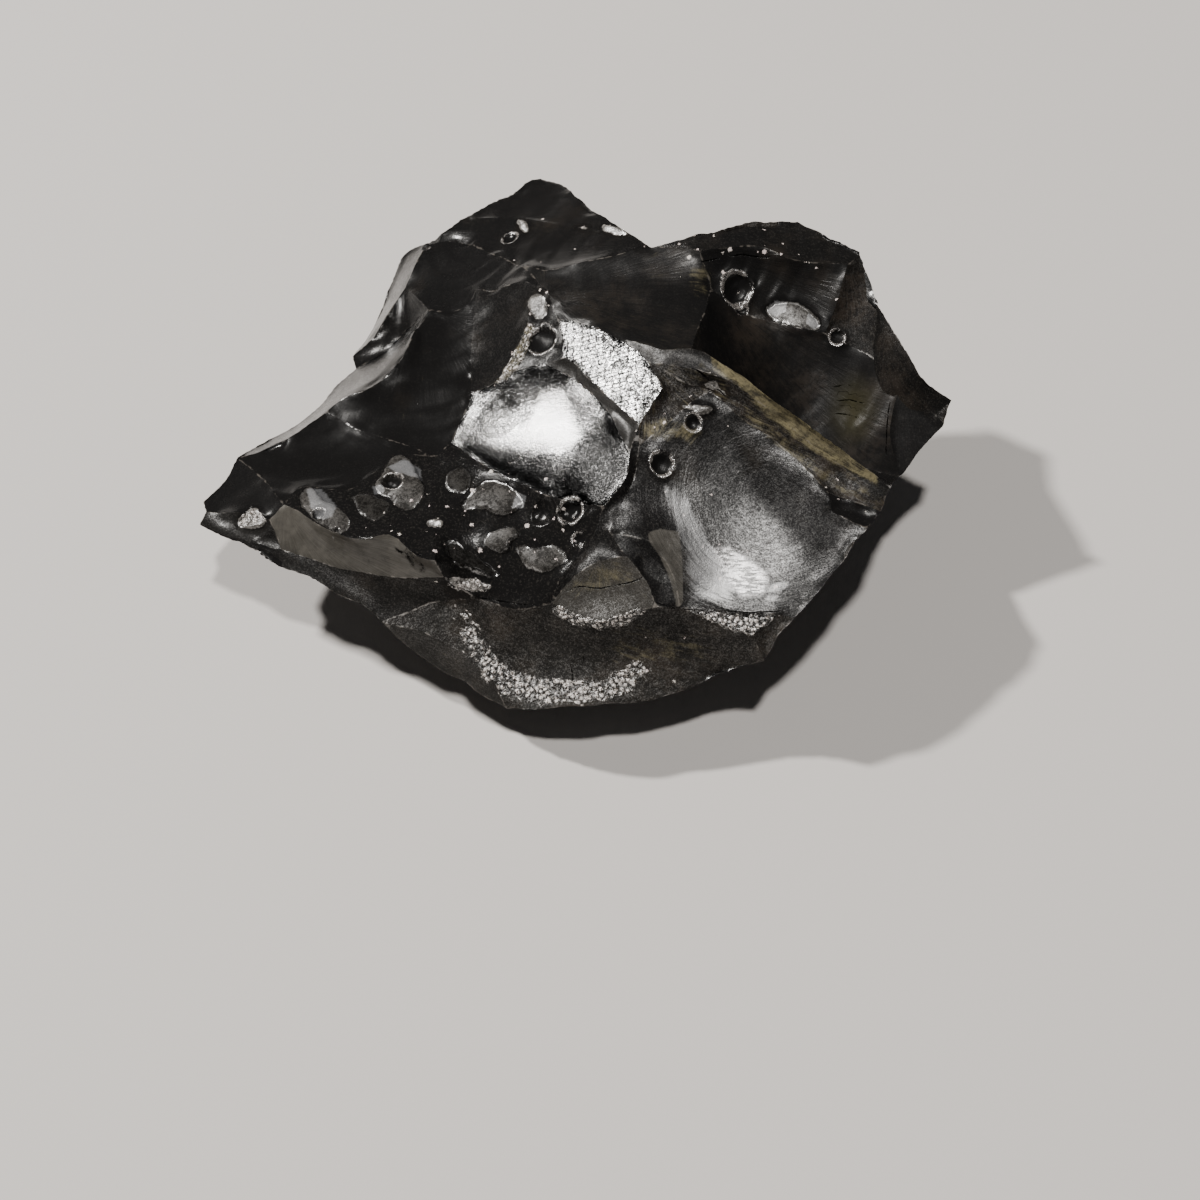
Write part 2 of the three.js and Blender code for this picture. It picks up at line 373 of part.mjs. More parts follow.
// Turns the edge between two triangles wherever that makes both better shaped.
function turnEdges(flat, triangles) {
  for (let turned = true; turned;) {
    turned = false;
    const owner = new Map();
    triangles.forEach((t, i) => t.forEach((a, k) => owner.set(`${a} ${t[(k + 1) % 3]}`, i)));
    const done = new Set();
    for (let i = 0; i < triangles.length; i++) {
      for (let k = 0; k < 3; k++) {
        const [a, b, c] = [0, 1, 2].map((step) => triangles[i][(k + step) % 3]);
        const other = owner.get(`${b} ${a}`);
        if (other === undefined || done.has(i) || done.has(other)) continue;
        const d = triangles[other].find((p) => p !== a && p !== b);
        if (!insideCircle(flat[a], flat[b], flat[c], flat[d])) continue;
        triangles[i] = [a, d, c];
        triangles[other] = [d, b, c];
        done.add(i).add(other);
        turned = true;
      }
    }
  }
}

// --- Hollowing a scar ----------------------------------------------------------------------------

// Heights over the scar's plane: a film stretched between the ridges, pressed in by the scar's depth.
function hollowHeights(borderHeights, triangles, count, depth) {
  const near = Array.from({ length: count }, () => new Set());
  for (const t of triangles) for (const a of t) for (const b of t) if (a !== b) near[a].add(b);
  const film = new Float64Array(count);
  const bowl = new Float64Array(count);
  const border = borderHeights.length;
  borderHeights.forEach((height, i) => { film[i] = height; });
  const mean = (values, i) => [...near[i]].reduce((sum, j) => sum + values[j], 0) / near[i].size;
  for (let round = 0; round < RELAX_ROUNDS; round++) {
    for (let i = border; i < count; i++) {
      film[i] = mean(film, i);
      bowl[i] = mean(bowl, i) + 1;
    }
  }
  const deepest = Math.max(1, ...bowl);
  return film.map((height, i) => height - depth * bowl[i] / deepest);
}

// One scar as triangles of skin points.
function scar(depth, cornerNames) {
  const loop = cornerNames.flatMap((name, i) => {
    const next = cornerNames[(i + 1) % cornerNames.length];
    return ridgePoints(name, next).slice(0, -1);
  });
  const outline = loop.map((i) => points[i]);
  const plane = planeOf(outline);
  const flat = outline.map((p) => flatten(p, plane));
  const triangles = clipEars(flat);
  turnEdges(flat, triangles);
  addInnerPoints(flat, triangles);
  turnEdges(flat, triangles);
  const borderHeights = outline.map((p) => p.clone().sub(plane.centre).dot(plane.normal));
  const heights = hollowHeights(borderHeights, triangles, flat.length, depth * scale);
  const index = [...loop];
  for (let i = loop.length; i < flat.length; i++) {
    const p = plane.centre.clone().addScaledVector(plane.along, flat[i].x);
    p.addScaledVector(plane.across, flat[i].y).addScaledVector(plane.normal, heights[i]);
    index.push(addPoint(p));
  }
  return triangles.map((t) => t.map((i) => index[i]));
}

// --- Solids --------------------------------------------------------------------------------------

function solidOf(geometry) {
  geometry.deleteAttribute('normal');
  geometry.deleteAttribute('uv');
  const merged = mergeVertices(geometry, 1e-5);
  return new wasm.Manifold(new wasm.Mesh({
    numProp: 3,
    vertProperties: new Float32Array(merged.attributes.position.array),
    triVerts: new Uint32Array(merged.index.array),
  }));
}

function geometryOf(solid) {
  const mesh = solid.getMesh();
  const geometry = new THREE.BufferGeometry();
  geometry.setAttribute('position', new THREE.BufferAttribute(mesh.vertProperties, 3));
  geometry.setIndex(new THREE.BufferAttribute(mesh.triVerts, 1));
  geometry.computeVertexNormals();
  return geometry;
}

const skinTriangles = Object.values(SCARS).flatMap(([depth, names]) => scar(depth, names.split(' ')));

// The point of the upper skin straight above (x, y), and the direction the skin faces there.
function topAt(x, y) {
  const p = new THREE.Vector2(x, y);
  let top = { point: null, normal: null };
  for (const t of skinTriangles) {
    const [a, b, c] = t.map((i) => points[i]);
    if (!holds(a, b, c, p)) continue;
    const normal = new THREE.Triangle(a, b, c).getNormal(new THREE.Vector3());
    const z = a.z - (normal.x * (x - a.x) + normal.y * (y - a.y)) / normal.z;
    if (!top.point || z > top.point.z) top = { point: new THREE.Vector3(x, y, z), normal };
  }
  return top;
}

function skin() {
  const geometry = new THREE.BufferGeometry().setFromPoints(points);
  geometry.setIndex(skinTriangles.flat());
  return solidOf(geometry);
}

// A plate is the hull of its corners: once on its own tilted face, and once down inside the stone.
function plate(standsUp, riseX, riseY, outline) {
  const corners = outline.map(([x, y]) => topAt(x * scale, y * scale).point);
  const middle = corners.reduce((sum, p) => sum.add(p), new THREE.Vector3()).divideScalar(corners.length);
  const hull = corners.flatMap((p) => {
    const face = p.clone();
    face.z = middle.z + standsUp * scale + riseX * (p.x - middle.x) + riseY * (p.y - middle.y);
    const root = p.clone();
    root.z = Math.min(face.z, p.z) - PLATE_ROOT * scale;
    return [face, root];
  });
  return solidOf(new ConvexGeometry(hull));
}

// A pit is cut by a ball that is sunk to the pit's depth and is as wide there as the pit's mouth.
function pit(x, y, across, deep) {
  const { point, normal } = topAt(x * scale, y * scale);
  const radius = (across ** 2 / 4 + deep ** 2) / (2 * deep) * scale;
  const ball = new THREE.IcosahedronGeometry(radius, PIT_DETAIL);
  const centre = point.clone().addScaledVector(normal, radius - deep * scale);
  return solidOf(ball.translate(centre.x, centre.y, centre.z));
}

function nugget() {
  let solid = skin();
  for (const values of Object.values(PLATES)) solid = solid.add(plate(...values));
  for (const [x, y, across, deep] of PITS) solid = solid.subtract(pit(x, y, across, deep));
  return geometryOf(solid);
}

const stone = new THREE.Group();
const body = new THREE.Mesh(nugget(), new THREE.MeshStandardMaterial({
  color: 0x17161a,
  roughness: 0.25,
  metalness: 0.35,
  flatShading: true,
}));
body.name = 'nugget';
stone.add(body);

export default stone;
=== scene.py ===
import math

import bpy
import numpy as np
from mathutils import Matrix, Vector
from mathutils.geometry import delaunay_2d_cdt


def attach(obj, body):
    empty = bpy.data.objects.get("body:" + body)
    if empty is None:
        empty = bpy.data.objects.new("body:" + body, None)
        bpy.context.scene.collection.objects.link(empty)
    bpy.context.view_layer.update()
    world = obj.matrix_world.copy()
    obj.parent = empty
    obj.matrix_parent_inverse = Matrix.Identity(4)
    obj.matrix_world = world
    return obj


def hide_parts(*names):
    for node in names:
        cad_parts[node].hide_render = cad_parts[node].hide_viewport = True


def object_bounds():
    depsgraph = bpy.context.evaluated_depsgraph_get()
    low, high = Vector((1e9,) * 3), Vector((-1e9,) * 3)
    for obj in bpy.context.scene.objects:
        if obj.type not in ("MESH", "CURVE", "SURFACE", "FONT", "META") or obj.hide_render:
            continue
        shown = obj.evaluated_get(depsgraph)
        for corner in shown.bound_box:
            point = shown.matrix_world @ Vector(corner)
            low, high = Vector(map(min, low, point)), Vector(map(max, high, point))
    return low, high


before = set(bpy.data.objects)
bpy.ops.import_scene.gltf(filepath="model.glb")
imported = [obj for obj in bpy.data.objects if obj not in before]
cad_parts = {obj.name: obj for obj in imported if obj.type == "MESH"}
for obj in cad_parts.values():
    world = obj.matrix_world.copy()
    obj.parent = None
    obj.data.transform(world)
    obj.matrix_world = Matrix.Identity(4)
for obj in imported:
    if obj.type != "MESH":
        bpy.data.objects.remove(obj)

cad_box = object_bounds()

# ---- The net of ridges ----
# A shungite nugget breaks like thick glass: every blow takes off a flake and leaves a shallow
# hollow scar, and the scars meet in sharp ridges. rim_* corners go round the widest outline,
# hip_* round the belly and base_* round the resting flat; places are in millimetres.


def places(text):
    """Places written as plain numbers, with a comma after each place."""
    return np.array([place.split() for place in text.split(",")], float)


def rows(text):
    """A table written as plain text: each row's name and its numbers, with a comma after each row."""
    return {name: np.array(numbers, float) for name, *numbers in map(str.split, text.split(","))}


def outlines(text):
    """Lines written as plain text: the words before each colon, and the places after it."""
    halves = (entry.split(":") for entry in text.split(";"))
    return [(head.split(), places(line)) for head, line in halves]


CORNERS = rows("""
    tip_low -34.3 -11.6 11.7, tip_cleft -33.8 -10 11.6, tip_high -34.3 -8.6 11.3, rim_w1 -31.8 -2.6 10.2,
    rim_w2 -24.5 4.6 9.7, rim_w3 -21.5 8.6 10.2, rim_w4 -21.9 10.5 9.8, rim_nw1 -14.6 21.3 14.5,
    rim_nw2 -11.4 23.7 15.2, rim_n1 -3.7 28.4 16, rim_n2 4.8 15.3 22, rim_n3 7.1 12.5 22.9,
    rim_ne1 20.9 16.3 22.2, rim_ne2 26.7 13.1 21.6, rim_e1 28.1 8 19.8, east_tip 34.4 -1.2 17,
    east_tip_low 33.8 -2.7 15.5, notch 29.8 -6.6 12.5, crest_end 28.2 -11 16.4, band_end 27.8 -12 16.2,
    rim_se1 27.2 -13.5 16.2, rim_se2 26 -15.2 16, rim_se3 19.2 -23.2 13.8, rim_se4 16.6 -25.9 11,
    rim_s1 -6.1 -27.4 5.3, rim_sw1 -17.4 -20.2 8.6, strip_mid -10.2 -23.3 7.9, rim_sw2 -29.8 -14.1 11.7,
    back_w -10.5 20 15.6, back_mid -5.3 13.6 19.2, back_e 0.1 11.1 22, summit -2.6 8 21.5,
    bright_top -1.8 5.1 21.2, crest1 3.9 1.2 23, crest2 7.7 -1.2 24, sliver_top -16.8 15.8 14,
    shoulder_top -14.1 11 15.8, crease_top -9.6 12.5 17, crease_foot -9.9 2.5 15.8, spine1 -6.1 1.1 18.4,
    spine2 -9.8 0.1 16.6, spine3 -11.4 -4.8 15.2, spine4 -12.7 -6.2 14.9, shoulder_foot -23.6 1.2 12.5,
    mirror_top -2.7 0.9 19.7, mirror_east 4.8 -10.5 20.5, mirror_foot 2.6 -14.8 18.7,
    step_top -1 0.8 20.7, bright_foot 5.6 -7.9 21.6, bright_east 7.8 -4.9 23.1, band_start 6.4 -2.1 23.5,
    speck_foot 5.8 -9.5 20.8, speck_east 10.2 -5.9 22.3, band_low1 12 -4.5 22.3,
    band_low2 22.6 -12.1 17.3, chip_tip 22.8 -13.8 16.6, sill_east 17.7 -22.8 13.7,
    sill_low 15.5 -24.6 12.9, scar_foot 9.2 -22.4 14, spike_foot 7.1 -22.6 14.6, groove2 4.5 -19 17,
    groove1 2.8 -16.9 18, spike_top 6.7 -17.7 17.5, oval_top 2 -19 16.5, oval_west -2 -21 12.8,
    front_mid -8.9 -19.5 11.2, taupe_east -11.7 -18.2 12.8, taupe_top -12.3 -18.2 15.3,
    taupe_west -26.4 -11 14, dark_top -27.9 -11.9 12.8, dark_foot -26.8 -14 11.3,
    strip_west 11.5 11.7 23.3, strip_east 25.4 11.3 21.6, hollow_east 12.6 8.9 20.8,
    lee_foot 10.2 -1.2 23.6, ledge_top 23.2 6.1 18, ledge_end 30.3 1.6 17, hip_sw -14.8 -16.2 2.8,
    hip_w -21.8 -5.8 5.5, hip_nw1 -14.8 5.2 2.2, hip_nw2 -11.3 15.2 7.5, hip_n1 -2.3 22.8 8,
    hip_n2 7.7 13.2 5.5, hip_ne 19.2 9.8 9.5, hip_e1 23.2 2.2 4.5, hip_e2 26.2 -5.2 9,
    hip_se1 20.7 -12.8 5.5, hip_se2 14.2 -21.2 6.5, hip_s -2.8 -23.2 1.8, base1 -3.8 -20.2 0,
    base2 8.7 -18.8 0, base3 12.7 -14.2 0, base4 16.7 -5.8 0, base5 13.2 3.2 0, base6 5.2 5.8 0,
    base7 -4.8 9.2 0, base8 -11.3 1.2 0, base9 -12.8 -13.2 0
""")
# where each ridge bends between its two corners
BENDS = {tuple(ends): bends for ends, bends in outlines("""
    tip_high rim_w1: -33 -6.1 10.7; rim_w1 rim_w2: -29.7 -0.2 9.6, -26.9 2.1 9.4;
    rim_w2 rim_w3: -23.2 7 9.6; rim_w4 rim_nw1: -20.6 14 9.2, -18.5 19.5 10.6, -17.3 21.8 12.2;
    rim_nw1 rim_nw2: -13.2 22.2 14.9; rim_nw2 rim_n1: -9 25.3 15.5, -6.5 26.5 15.8, -5.2 28.1 15.9;
    rim_n1 rim_n2: -1.7 26.7 17, 0 23.3 18.6, 2.7 18.6 20.7; rim_n3 rim_ne1: 10.3 13.3 23.3,
    13.3 14.5 23.2, 16.4 15.9 22.8; rim_ne1 rim_ne2: 23.7 14.8 22; rim_ne2 rim_e1: 27.6 10.6 20.4;
    rim_e1 east_tip: 30 3.3 19.6, 31.9 -0.2 18.8; rim_se2 rim_se3: 23.8 -18.2 15.3, 21 -21.5 14.5;
    rim_se4 rim_s1: 14.9 -26 9.6, 12.2 -26.3 8.2, 6.1 -27.8 7.3, -1.3 -28.5 7.4;
    rim_s1 rim_sw1: -10.3 -24.7 5.5, -13.6 -22.6 6; rim_sw1 rim_sw2: -18.2 -19.6 9, -21.3 -18.4 10.3,
    -24.2 -16.7 10.8, -27 -15.8 11.1; rim_sw2 tip_low: -31.7 -13.1 11.7; rim_nw2 rim_n2: -5.6 21.7 17.2,
    -0.2 18.1 19.7; rim_nw1 back_w: -12.5 21 15; back_w back_mid: -8 17 17.2;
    back_mid back_e: -2.8 11.3 20.8; back_e rim_n3: 4.1 11.8 22.6; rim_nw1 sliver_top: -16 18.1 14.6;
    sliver_top rim_w4: -18.5 12.9 12.9, -20.1 11.1 11.3; shoulder_top rim_w3: -16.6 11.1 12.8,
    -19.1 9.5 11; shoulder_foot shoulder_top: -21.9 1.9 13.6, -19.1 2.3 14.8, -16.5 4.8 15.9,
    -15.2 8.5 16; rim_w1 shoulder_foot: -28.7 -2.2 11.4, -25.9 -0.8 12.1;
    shoulder_top crease_top: -12.2 10.6 15.9, -10.5 10.8 16.6; crease_top summit: -7.3 11.2 18.6,
    -4.7 10.3 20.4; crease_top crease_foot: -9.9 7.4 16.3; summit spine1: -4.3 6.3 20.6, -4.5 3.8 20;
    spine1 spine2: -7.9 0.3 17.5; spine2 spine3: -10.2 -1.3 16; shoulder_foot spine4: -19.7 -2.1 13.4,
    -15.8 -4.2 14.4; spine4 taupe_west: -16.1 -5.8 14.6, -18.3 -7.6 14.4, -20.9 -9.5 14.2,
    -25.1 -8.8 13.8; rim_w1 taupe_west: -29 -6.4 12; tip_cleft dark_top: -30.7 -10.8 12.6;
    taupe_west taupe_top: -24.8 -12.1 14.4, -21.6 -14.7 14.8, -19.2 -15.8 15.1, -16.5 -15.7 15.7,
    -13.9 -17.9 15.4; dark_foot taupe_east: -21.5 -15.9 11, -16.3 -17.2 11.5;
    front_mid rim_sw1: -12.6 -18.9 9.9; spine4 taupe_top: -12.8 -12.1 15.4;
    spine3 mirror_foot: -8.7 -7.7 15.9, -5 -10.8 17, -1.3 -13.6 18;
    mirror_foot mirror_east: 4.4 -12.7 19.8; mirror_top mirror_east: 0.6 -1.9 20, 3.1 -5.8 20.5;
    step_top bright_foot: 2.3 -3.5 21.1; bright_top crest1: 1.3 3.4 22.2;
    crest2 crest_end: 10.5 -1.7 24.6, 13.3 -3.3 24.4, 16.3 -5.5 23.6, 19.4 -7.4 22.3, 22.6 -8.9 20.5,
    25.8 -10.1 18.4; band_start band_end: 9.3 -3.1 23.9, 12.7 -4.1 23.6, 16.7 -6.1 22.1, 21.6 -8.9 19.3;
    band_start band_low1: 9.3 -3.9 23.1; band_low1 band_low2: 14.5 -6.3 20.9, 18.5 -8.3 19;
    speck_foot speck_east: 8 -7.8 21.4; speck_foot groove1: 5 -12.6 19; groove2 spike_foot: 6.3 -21 15.6;
    spike_top scar_foot: 8.5 -20.1 15.7; scar_foot sill_east: 13.6 -22.6 13.8;
    oval_top oval_west: 0 -19.5 14.8; oval_west spike_foot: 0.4 -22.5 12.5, 2.2 -23.1 12.9,
    4.4 -22.7 13.5; mirror_foot oval_west: 0.9 -17.6 16.3, -1.3 -19.5 14.5;
    front_mid oval_west: -5 -21 11.8; rim_sw1 strip_mid: -13.5 -21.4 8.6;
    strip_mid rim_s1: -7.6 -25.2 6.8; lee_foot notch: 13.9 -1.2 19, 17.8 -1 14.2, 21.3 -2.5 12.3,
    24.5 -4.5 11.8; hollow_east lee_foot: 11.5 4.4 21.9; strip_west strip_east: 17.5 12.5 22.8,
    19.9 11.6 22.3; strip_east ledge_top: 24.4 8.6 19.8; hollow_east ledge_top: 16.2 7.6 18.8;
    ledge_top ledge_end: 27 4.5 16.9; ledge_end notch: 29 -2.8 14.6; tip_low hip_w: -28.3 -8.9 8.4;
    rim_w2 hip_nw1: -19.8 5.8 5.6; rim_nw1 hip_nw2: -13.6 18.2 11; rim_n1 hip_n1: -3.6 25.8 12;
    rim_n3 hip_n2: 7.8 13.4 14; rim_ne1 hip_ne: 20.5 13.8 16; rim_e1 hip_e1: 26.2 5.4 12.5;
    east_tip hip_e2: 30.4 -3.2 12.8; rim_se1 hip_se1: 24.5 -13.3 10.8; hip_sw hip_w: -18.3 -10.9 4.6;
    hip_w hip_nw1: -19.3 -0.2 4.4; hip_nw1 hip_nw2: -13.3 10.8 4.4; hip_nw2 hip_n1: -7.3 19.8 8.6;
    hip_n1 hip_n2: 2.7 18.8 6.2; hip_n2 hip_ne: 13.2 12.2 8.2; hip_ne hip_e1: 21.7 6.2 7.4;
    hip_e1 hip_e2: 25.4 -1.2 6.2; hip_e2 hip_se1: 24.2 -9.2 6.6; hip_se1 hip_se2: 18.2 -17.2 6.6;
    hip_se2 hip_s: 5.7 -23.2 3.4; hip_s hip_sw: -9.3 -20.4 1.8
""")}
# each scar's depth in millimetres and the corners round it
SCARS = {name: (float(depth), corners) for name, depth, *corners in map(str.split, """
    back_plateau_high 0.1 rim_n2 rim_n1 rim_nw2,
    back_plateau_low 0.1 rim_n3 rim_n2 rim_nw2 rim_nw1 back_w back_mid back_e,
    upper_west 0.4 back_w rim_nw1 sliver_top shoulder_top crease_top summit back_mid,
    sliver_a 0.1 rim_nw1 rim_w4 sliver_top, dark_step 0.3 sliver_top rim_w4 rim_w3 shoulder_top,
    sliver_b 0.1 shoulder_top rim_w3 rim_w2 shoulder_foot, sliver_c 0.2 rim_w2 rim_w1 shoulder_foot,
    west_hollow 0.7 shoulder_top shoulder_foot spine4 spine3 spine2 crease_foot crease_top,
    west_dip 0.8 shoulder_foot rim_w1 taupe_west spine4,
    spine_hollow 0.3 crease_top crease_foot spine2 spine1 summit,
    tip_top 0.3 rim_w1 tip_high tip_cleft dark_top taupe_west,
    tip_front 0.4 tip_cleft tip_low rim_sw2 dark_foot dark_top, pits_west 0.2 spine4 taupe_west taupe_top,
    pits_east 0.3 spine4 taupe_top taupe_east front_mid oval_west mirror_foot spine3,
    taupe 0.2 taupe_west dark_top dark_foot taupe_east taupe_top,
    dark_band 0.4 dark_foot rim_sw2 rim_sw1 front_mid taupe_east,
    mirror 0.9 spine2 spine3 mirror_foot mirror_east mirror_top spine1,
    step_band 0.3 mirror_top mirror_east bright_foot step_top,
    bright_facet 0.15 bright_top step_top bright_foot bright_east band_start crest1,
    collar 0.3 bright_top summit spine1 mirror_top step_top,
    groove 0.5 bright_foot mirror_east mirror_foot oval_west oval_top groove2 groove1 speck_foot,
    speckled 0.4 band_start bright_east bright_foot speck_foot speck_east band_low1,
    band_high 0.25 crest_end crest2 crest1 band_start band_end,
    band_low 0.25 band_start band_low1 band_low2 rim_se1 band_end,
    black_chip 0.3 band_low2 chip_tip rim_se2 rim_se1, big_scar 0.8 speck_east speck_foot groove1
    spike_top scar_foot sill_east rim_se3 rim_se2 chip_tip band_low2 band_low1,
    spike_face 0.3 groove1 groove2 spike_foot scar_foot spike_top,
    oval 0.5 oval_top oval_west spike_foot groove2, sill 0.2 scar_foot sill_low sill_east,
    end_face 0.3 sill_low rim_se4 rim_se3 sill_east,
    front_scar 1.2 front_mid rim_sw1 strip_mid rim_s1 rim_se4 sill_low scar_foot spike_foot oval_west,
    front_strip 0.2 rim_sw1 rim_s1 strip_mid, lee 0.3 crest2 crest_end notch lee_foot, olive_hollow 0.5
    summit bright_top crest1 crest2 lee_foot hollow_east strip_west rim_n3 back_e back_mid,
    top_strip 0.3 rim_n3 strip_west strip_east rim_ne2 rim_ne1,
    upper_wall 0.5 strip_west hollow_east ledge_top strip_east,
    brown_wall 0.8 strip_east ledge_top ledge_end east_tip rim_e1 rim_ne2,
    scoop 1 hollow_east lee_foot notch ledge_end ledge_top, right_face 0.15 ledge_end notch east_tip_low,
    tip_facet 0.2 ledge_end east_tip_low east_tip, under_west_s 1.2 tip_low hip_w hip_sw rim_sw1 rim_sw2,
    under_west_n 1.2 tip_low tip_cleft tip_high rim_w1 rim_w2 hip_nw1 hip_w,
    under_nw 1.6 rim_w2 rim_w3 rim_w4 rim_nw1 hip_nw2 hip_nw1,
    under_n1 1 rim_nw1 rim_nw2 rim_n1 hip_n1 hip_nw2, under_n2 1.6 rim_n1 rim_n2 rim_n3 hip_n2 hip_n1,
    under_ne1 1.8 rim_n3 rim_ne1 hip_ne hip_n2, under_ne2 1 rim_ne1 rim_ne2 rim_e1 hip_e1 hip_ne,
    under_e1 1.4 rim_e1 east_tip hip_e2 hip_e1,
    under_e2 1.2 east_tip east_tip_low notch crest_end band_end rim_se1 hip_se1 hip_e2,
    under_se 1.4 rim_se1 rim_se2 rim_se3 rim_se4 hip_se2 hip_se1,
    under_s 0.9 rim_se4 rim_s1 hip_s hip_se2, under_sw 0.5 rim_s1 rim_sw1 hip_sw hip_s,
    low1 0.3 hip_w hip_nw1 base8, low2 0.6 hip_nw1 hip_nw2 base7 base8,
    low3 0.6 hip_nw2 hip_n1 base6 base7, low4 0.3 hip_n1 hip_n2 base6, low5 0.7 hip_n2 hip_ne base5 base6,
    low6 0.2 hip_ne hip_e1 base5, low7 0.6 hip_e1 hip_e2 base4 base5, low8 0.5 hip_e2 hip_se1 base3 base4,
    low9 0.5 hip_se1 hip_se2 base2 base3, low10 0.3 hip_se2 hip_s base1 base2,
    low11 0.3 hip_s hip_sw base9 base1, low12 0.6 hip_sw hip_w base8 base9,
    base 0 base2 base1 base9 base8 base7 base6 base5 base4 base3
""".split(","))}

# ---- Laying out the skin ----
# The skin is the stone's broken surface. Each scar is laid out flat as small triangles between
# its ridges, finer where pits and plates are, and then pressed in like a film, so it is deepest
# in the middle and crisp at its ridges.

TOP_STEP = 0.30           # triangle side on the scars that show from above, millimetres
UNDER_STEP = 0.46         # the same on the underside
FINE_STEP = 0.15          # the same round pits and plates
RIDGE_ROOM = 0.62         # least room between a ridge and the next points, in triangle sides
FINE_ROOM = 0.2           # the same in millimetres, where the triangles are fine
FINE_REACH = 4.0          # how far off a scar's plane a fine zone's middle may lie
FLOW_REACH = 14.0         # millimetres that one radian of a scar counts for
SCAR_SHIFT = 3.7          # sets the streaks of one scar apart from those of the next
CURVE_SAMPLES = 24        # points tried on each stretch of a ridge before it is walked evenly
SETTLING_ROUNDS = 600     # the most rounds that a film gets to come to rest
SETTLED = 1e-12           # what is left of a film's pull when it counts as at rest
NEAR_NOTHING = 1e-12      # keeps a sum from dividing by nothing
PULL_RANGE = (1e-3, 20)   # least and greatest pull between two neighbouring points

UNDER = ("under", "low", "base")
# middle and radius of the zones with fine triangles
FINE_ZONES = places("""
    -22.8 -11.8 14.5 3.4, -17 -10.2 14.7 4, -8.6 -11.6 15.8 4.6, -4.6 -16.4 15 4.8, -29.4 -11.2 12.4 1.9,
    -3.4 4.8 20.4 3.2, -1 -14.6 17.6 2.2, 14.9 9.3 20.2 2.4, 20.2 7.6 18.6 3.2, 7.7 -10.7 19.6 1.6,
    10.4 -6.8 21.2 1.8, -6.4 19.6 17.4 2.4, 3.4 16.2 21.4 1.9, -9.6 -18.6 12.4 2.4, 24.4 6 17.8 1.3
""")
# where the blow landed, on scars whose ripples run round it in arcs
STRUCK = rows("big_scar 17 -12.6 17.6, mirror -2 -12 17.5")
ARC_STRETCH = (0.5, 1, 1)     # how much streaks that run round the blow are drawn out

points = []
corner_index = {}
ridge_lists = {}
soft_points = set()


def add_points(new):
    """Adds points to the skin and gives their numbers."""
    first = len(points)
    points.extend(np.asarray(new, float))
    return list(range(first, len(points)))


for name, place in CORNERS.items():
    corner_index[name] = add_points([place])[0]


def smooth_through(through):
    """A smooth curve through the given points, in many small steps."""
    p = [np.array(q, float) for q in through]
    p = [2 * p[0] - p[1]] + p + [2 * p[-1] - p[-2]]
    out = [p[1]]
    for a, b, c, d in zip(p, p[1:], p[2:], p[3:]):
        gap_ab = np.linalg.norm(b - a) ** 0.5
        gap_bc = np.linalg.norm(c - b) ** 0.5
        gap_cd = np.linalg.norm(d - c) ** 0.5
        leave = ((b - a) / gap_ab - (c - a) / (gap_ab + gap_bc) + (c - b) / gap_bc) * gap_bc
        reach = ((c - b) / gap_bc - (d - b) / (gap_bc + gap_cd) + (d - c) / gap_cd) * gap_bc
        for t in np.linspace(0, 1, CURVE_SAMPLES + 1)[1:]:
            out.append(b * (2 * t**3 - 3 * t**2 + 1) + leave * (t**3 - 2 * t**2 + t)
                       + c * (3 * t**2 - 2 * t**3) + reach * (t**3 - t**2))
    return np.array(out)


def ridge_points(start, end):
    """The skin's points along one ridge; the scars on its two sides share them."""
    if (end, start) in ridge_lists:
        return ridge_lists[end, start][::-1]
    if (start, end) not in ridge_lists:
        bends = BENDS.get((start, end), BENDS.get((end, start), [])[::-1])
        curve = smooth_through([CORNERS[start], *bends, CORNERS[end]])
        run = np.concatenate([[0], np.cumsum(np.linalg.norm(np.diff(curve, axis=0), axis=1))])
        hidden = start.startswith(("hip", "base")) and end.startswith(("hip", "base"))
        count = max(1, round(run[-1] / (UNDER_STEP if hidden else TOP_STEP)))
        stops = np.linspace(0, run[-1], count + 1)[1:-1]
        inner = np.stack([np.interp(stops, run, curve[:, k]) for k in range(3)], axis=1)
        ridge_lists[start, end] = [corner_index[start], *add_points(inner), corner_index[end]]
    return ridge_lists[start, end]


def soften(*ways):
    """Notes the ridges that are only faint folds, with no chips or worn edge."""
    for way in ways:
        start, end = way.split()
        soft_points.update(ridge_points(start, end)[1:-1])


def plane_of(outline):
    """The plane that fits a closed outline: its centre, normal and two directions in it."""
    after = np.roll(outline, -1, axis=0)
    normal = np.cross(outline, after).sum(axis=0)
    normal /= np.linalg.norm(normal)
    along = np.array([1.0, 0, 0]) if abs(normal[0]) < 0.9 else np.array([0, 1.0, 0])
    along -= normal * (along @ normal)
    along /= np.linalg.norm(along)
    return outline.mean(axis=0), normal, along, np.cross(normal, along)


def inside_outline(flat, outline):
    """Which flat points lie inside a flat outline."""
    hits = np.zeros(len(flat), bool)
    for a, b in zip(outline, np.roll(outline, -1, axis=0)):
        if a[1] == b[1]:
            continue
        crosses = (a[1] > flat[:, 1]) != (b[1] > flat[:, 1])
        reach = a[0] + (flat[:, 1] - a[1]) / (b[1] - a[1]) * (b[0] - a[0])
        hits ^= crosses & (flat[:, 0] < reach)
    return hits


def nearest(flat, others, batch=2000):
    """Distance from each flat point to the nearest of the others."""
    out = np.full(len(flat), np.inf)
    for first in range(0, len(flat), batch):
        part = flat[first:first + batch, None, :] - others[None, :, :]
        out[first:first + batch] = np.sqrt((part**2).sum(axis=2).min(axis=1))
    return out


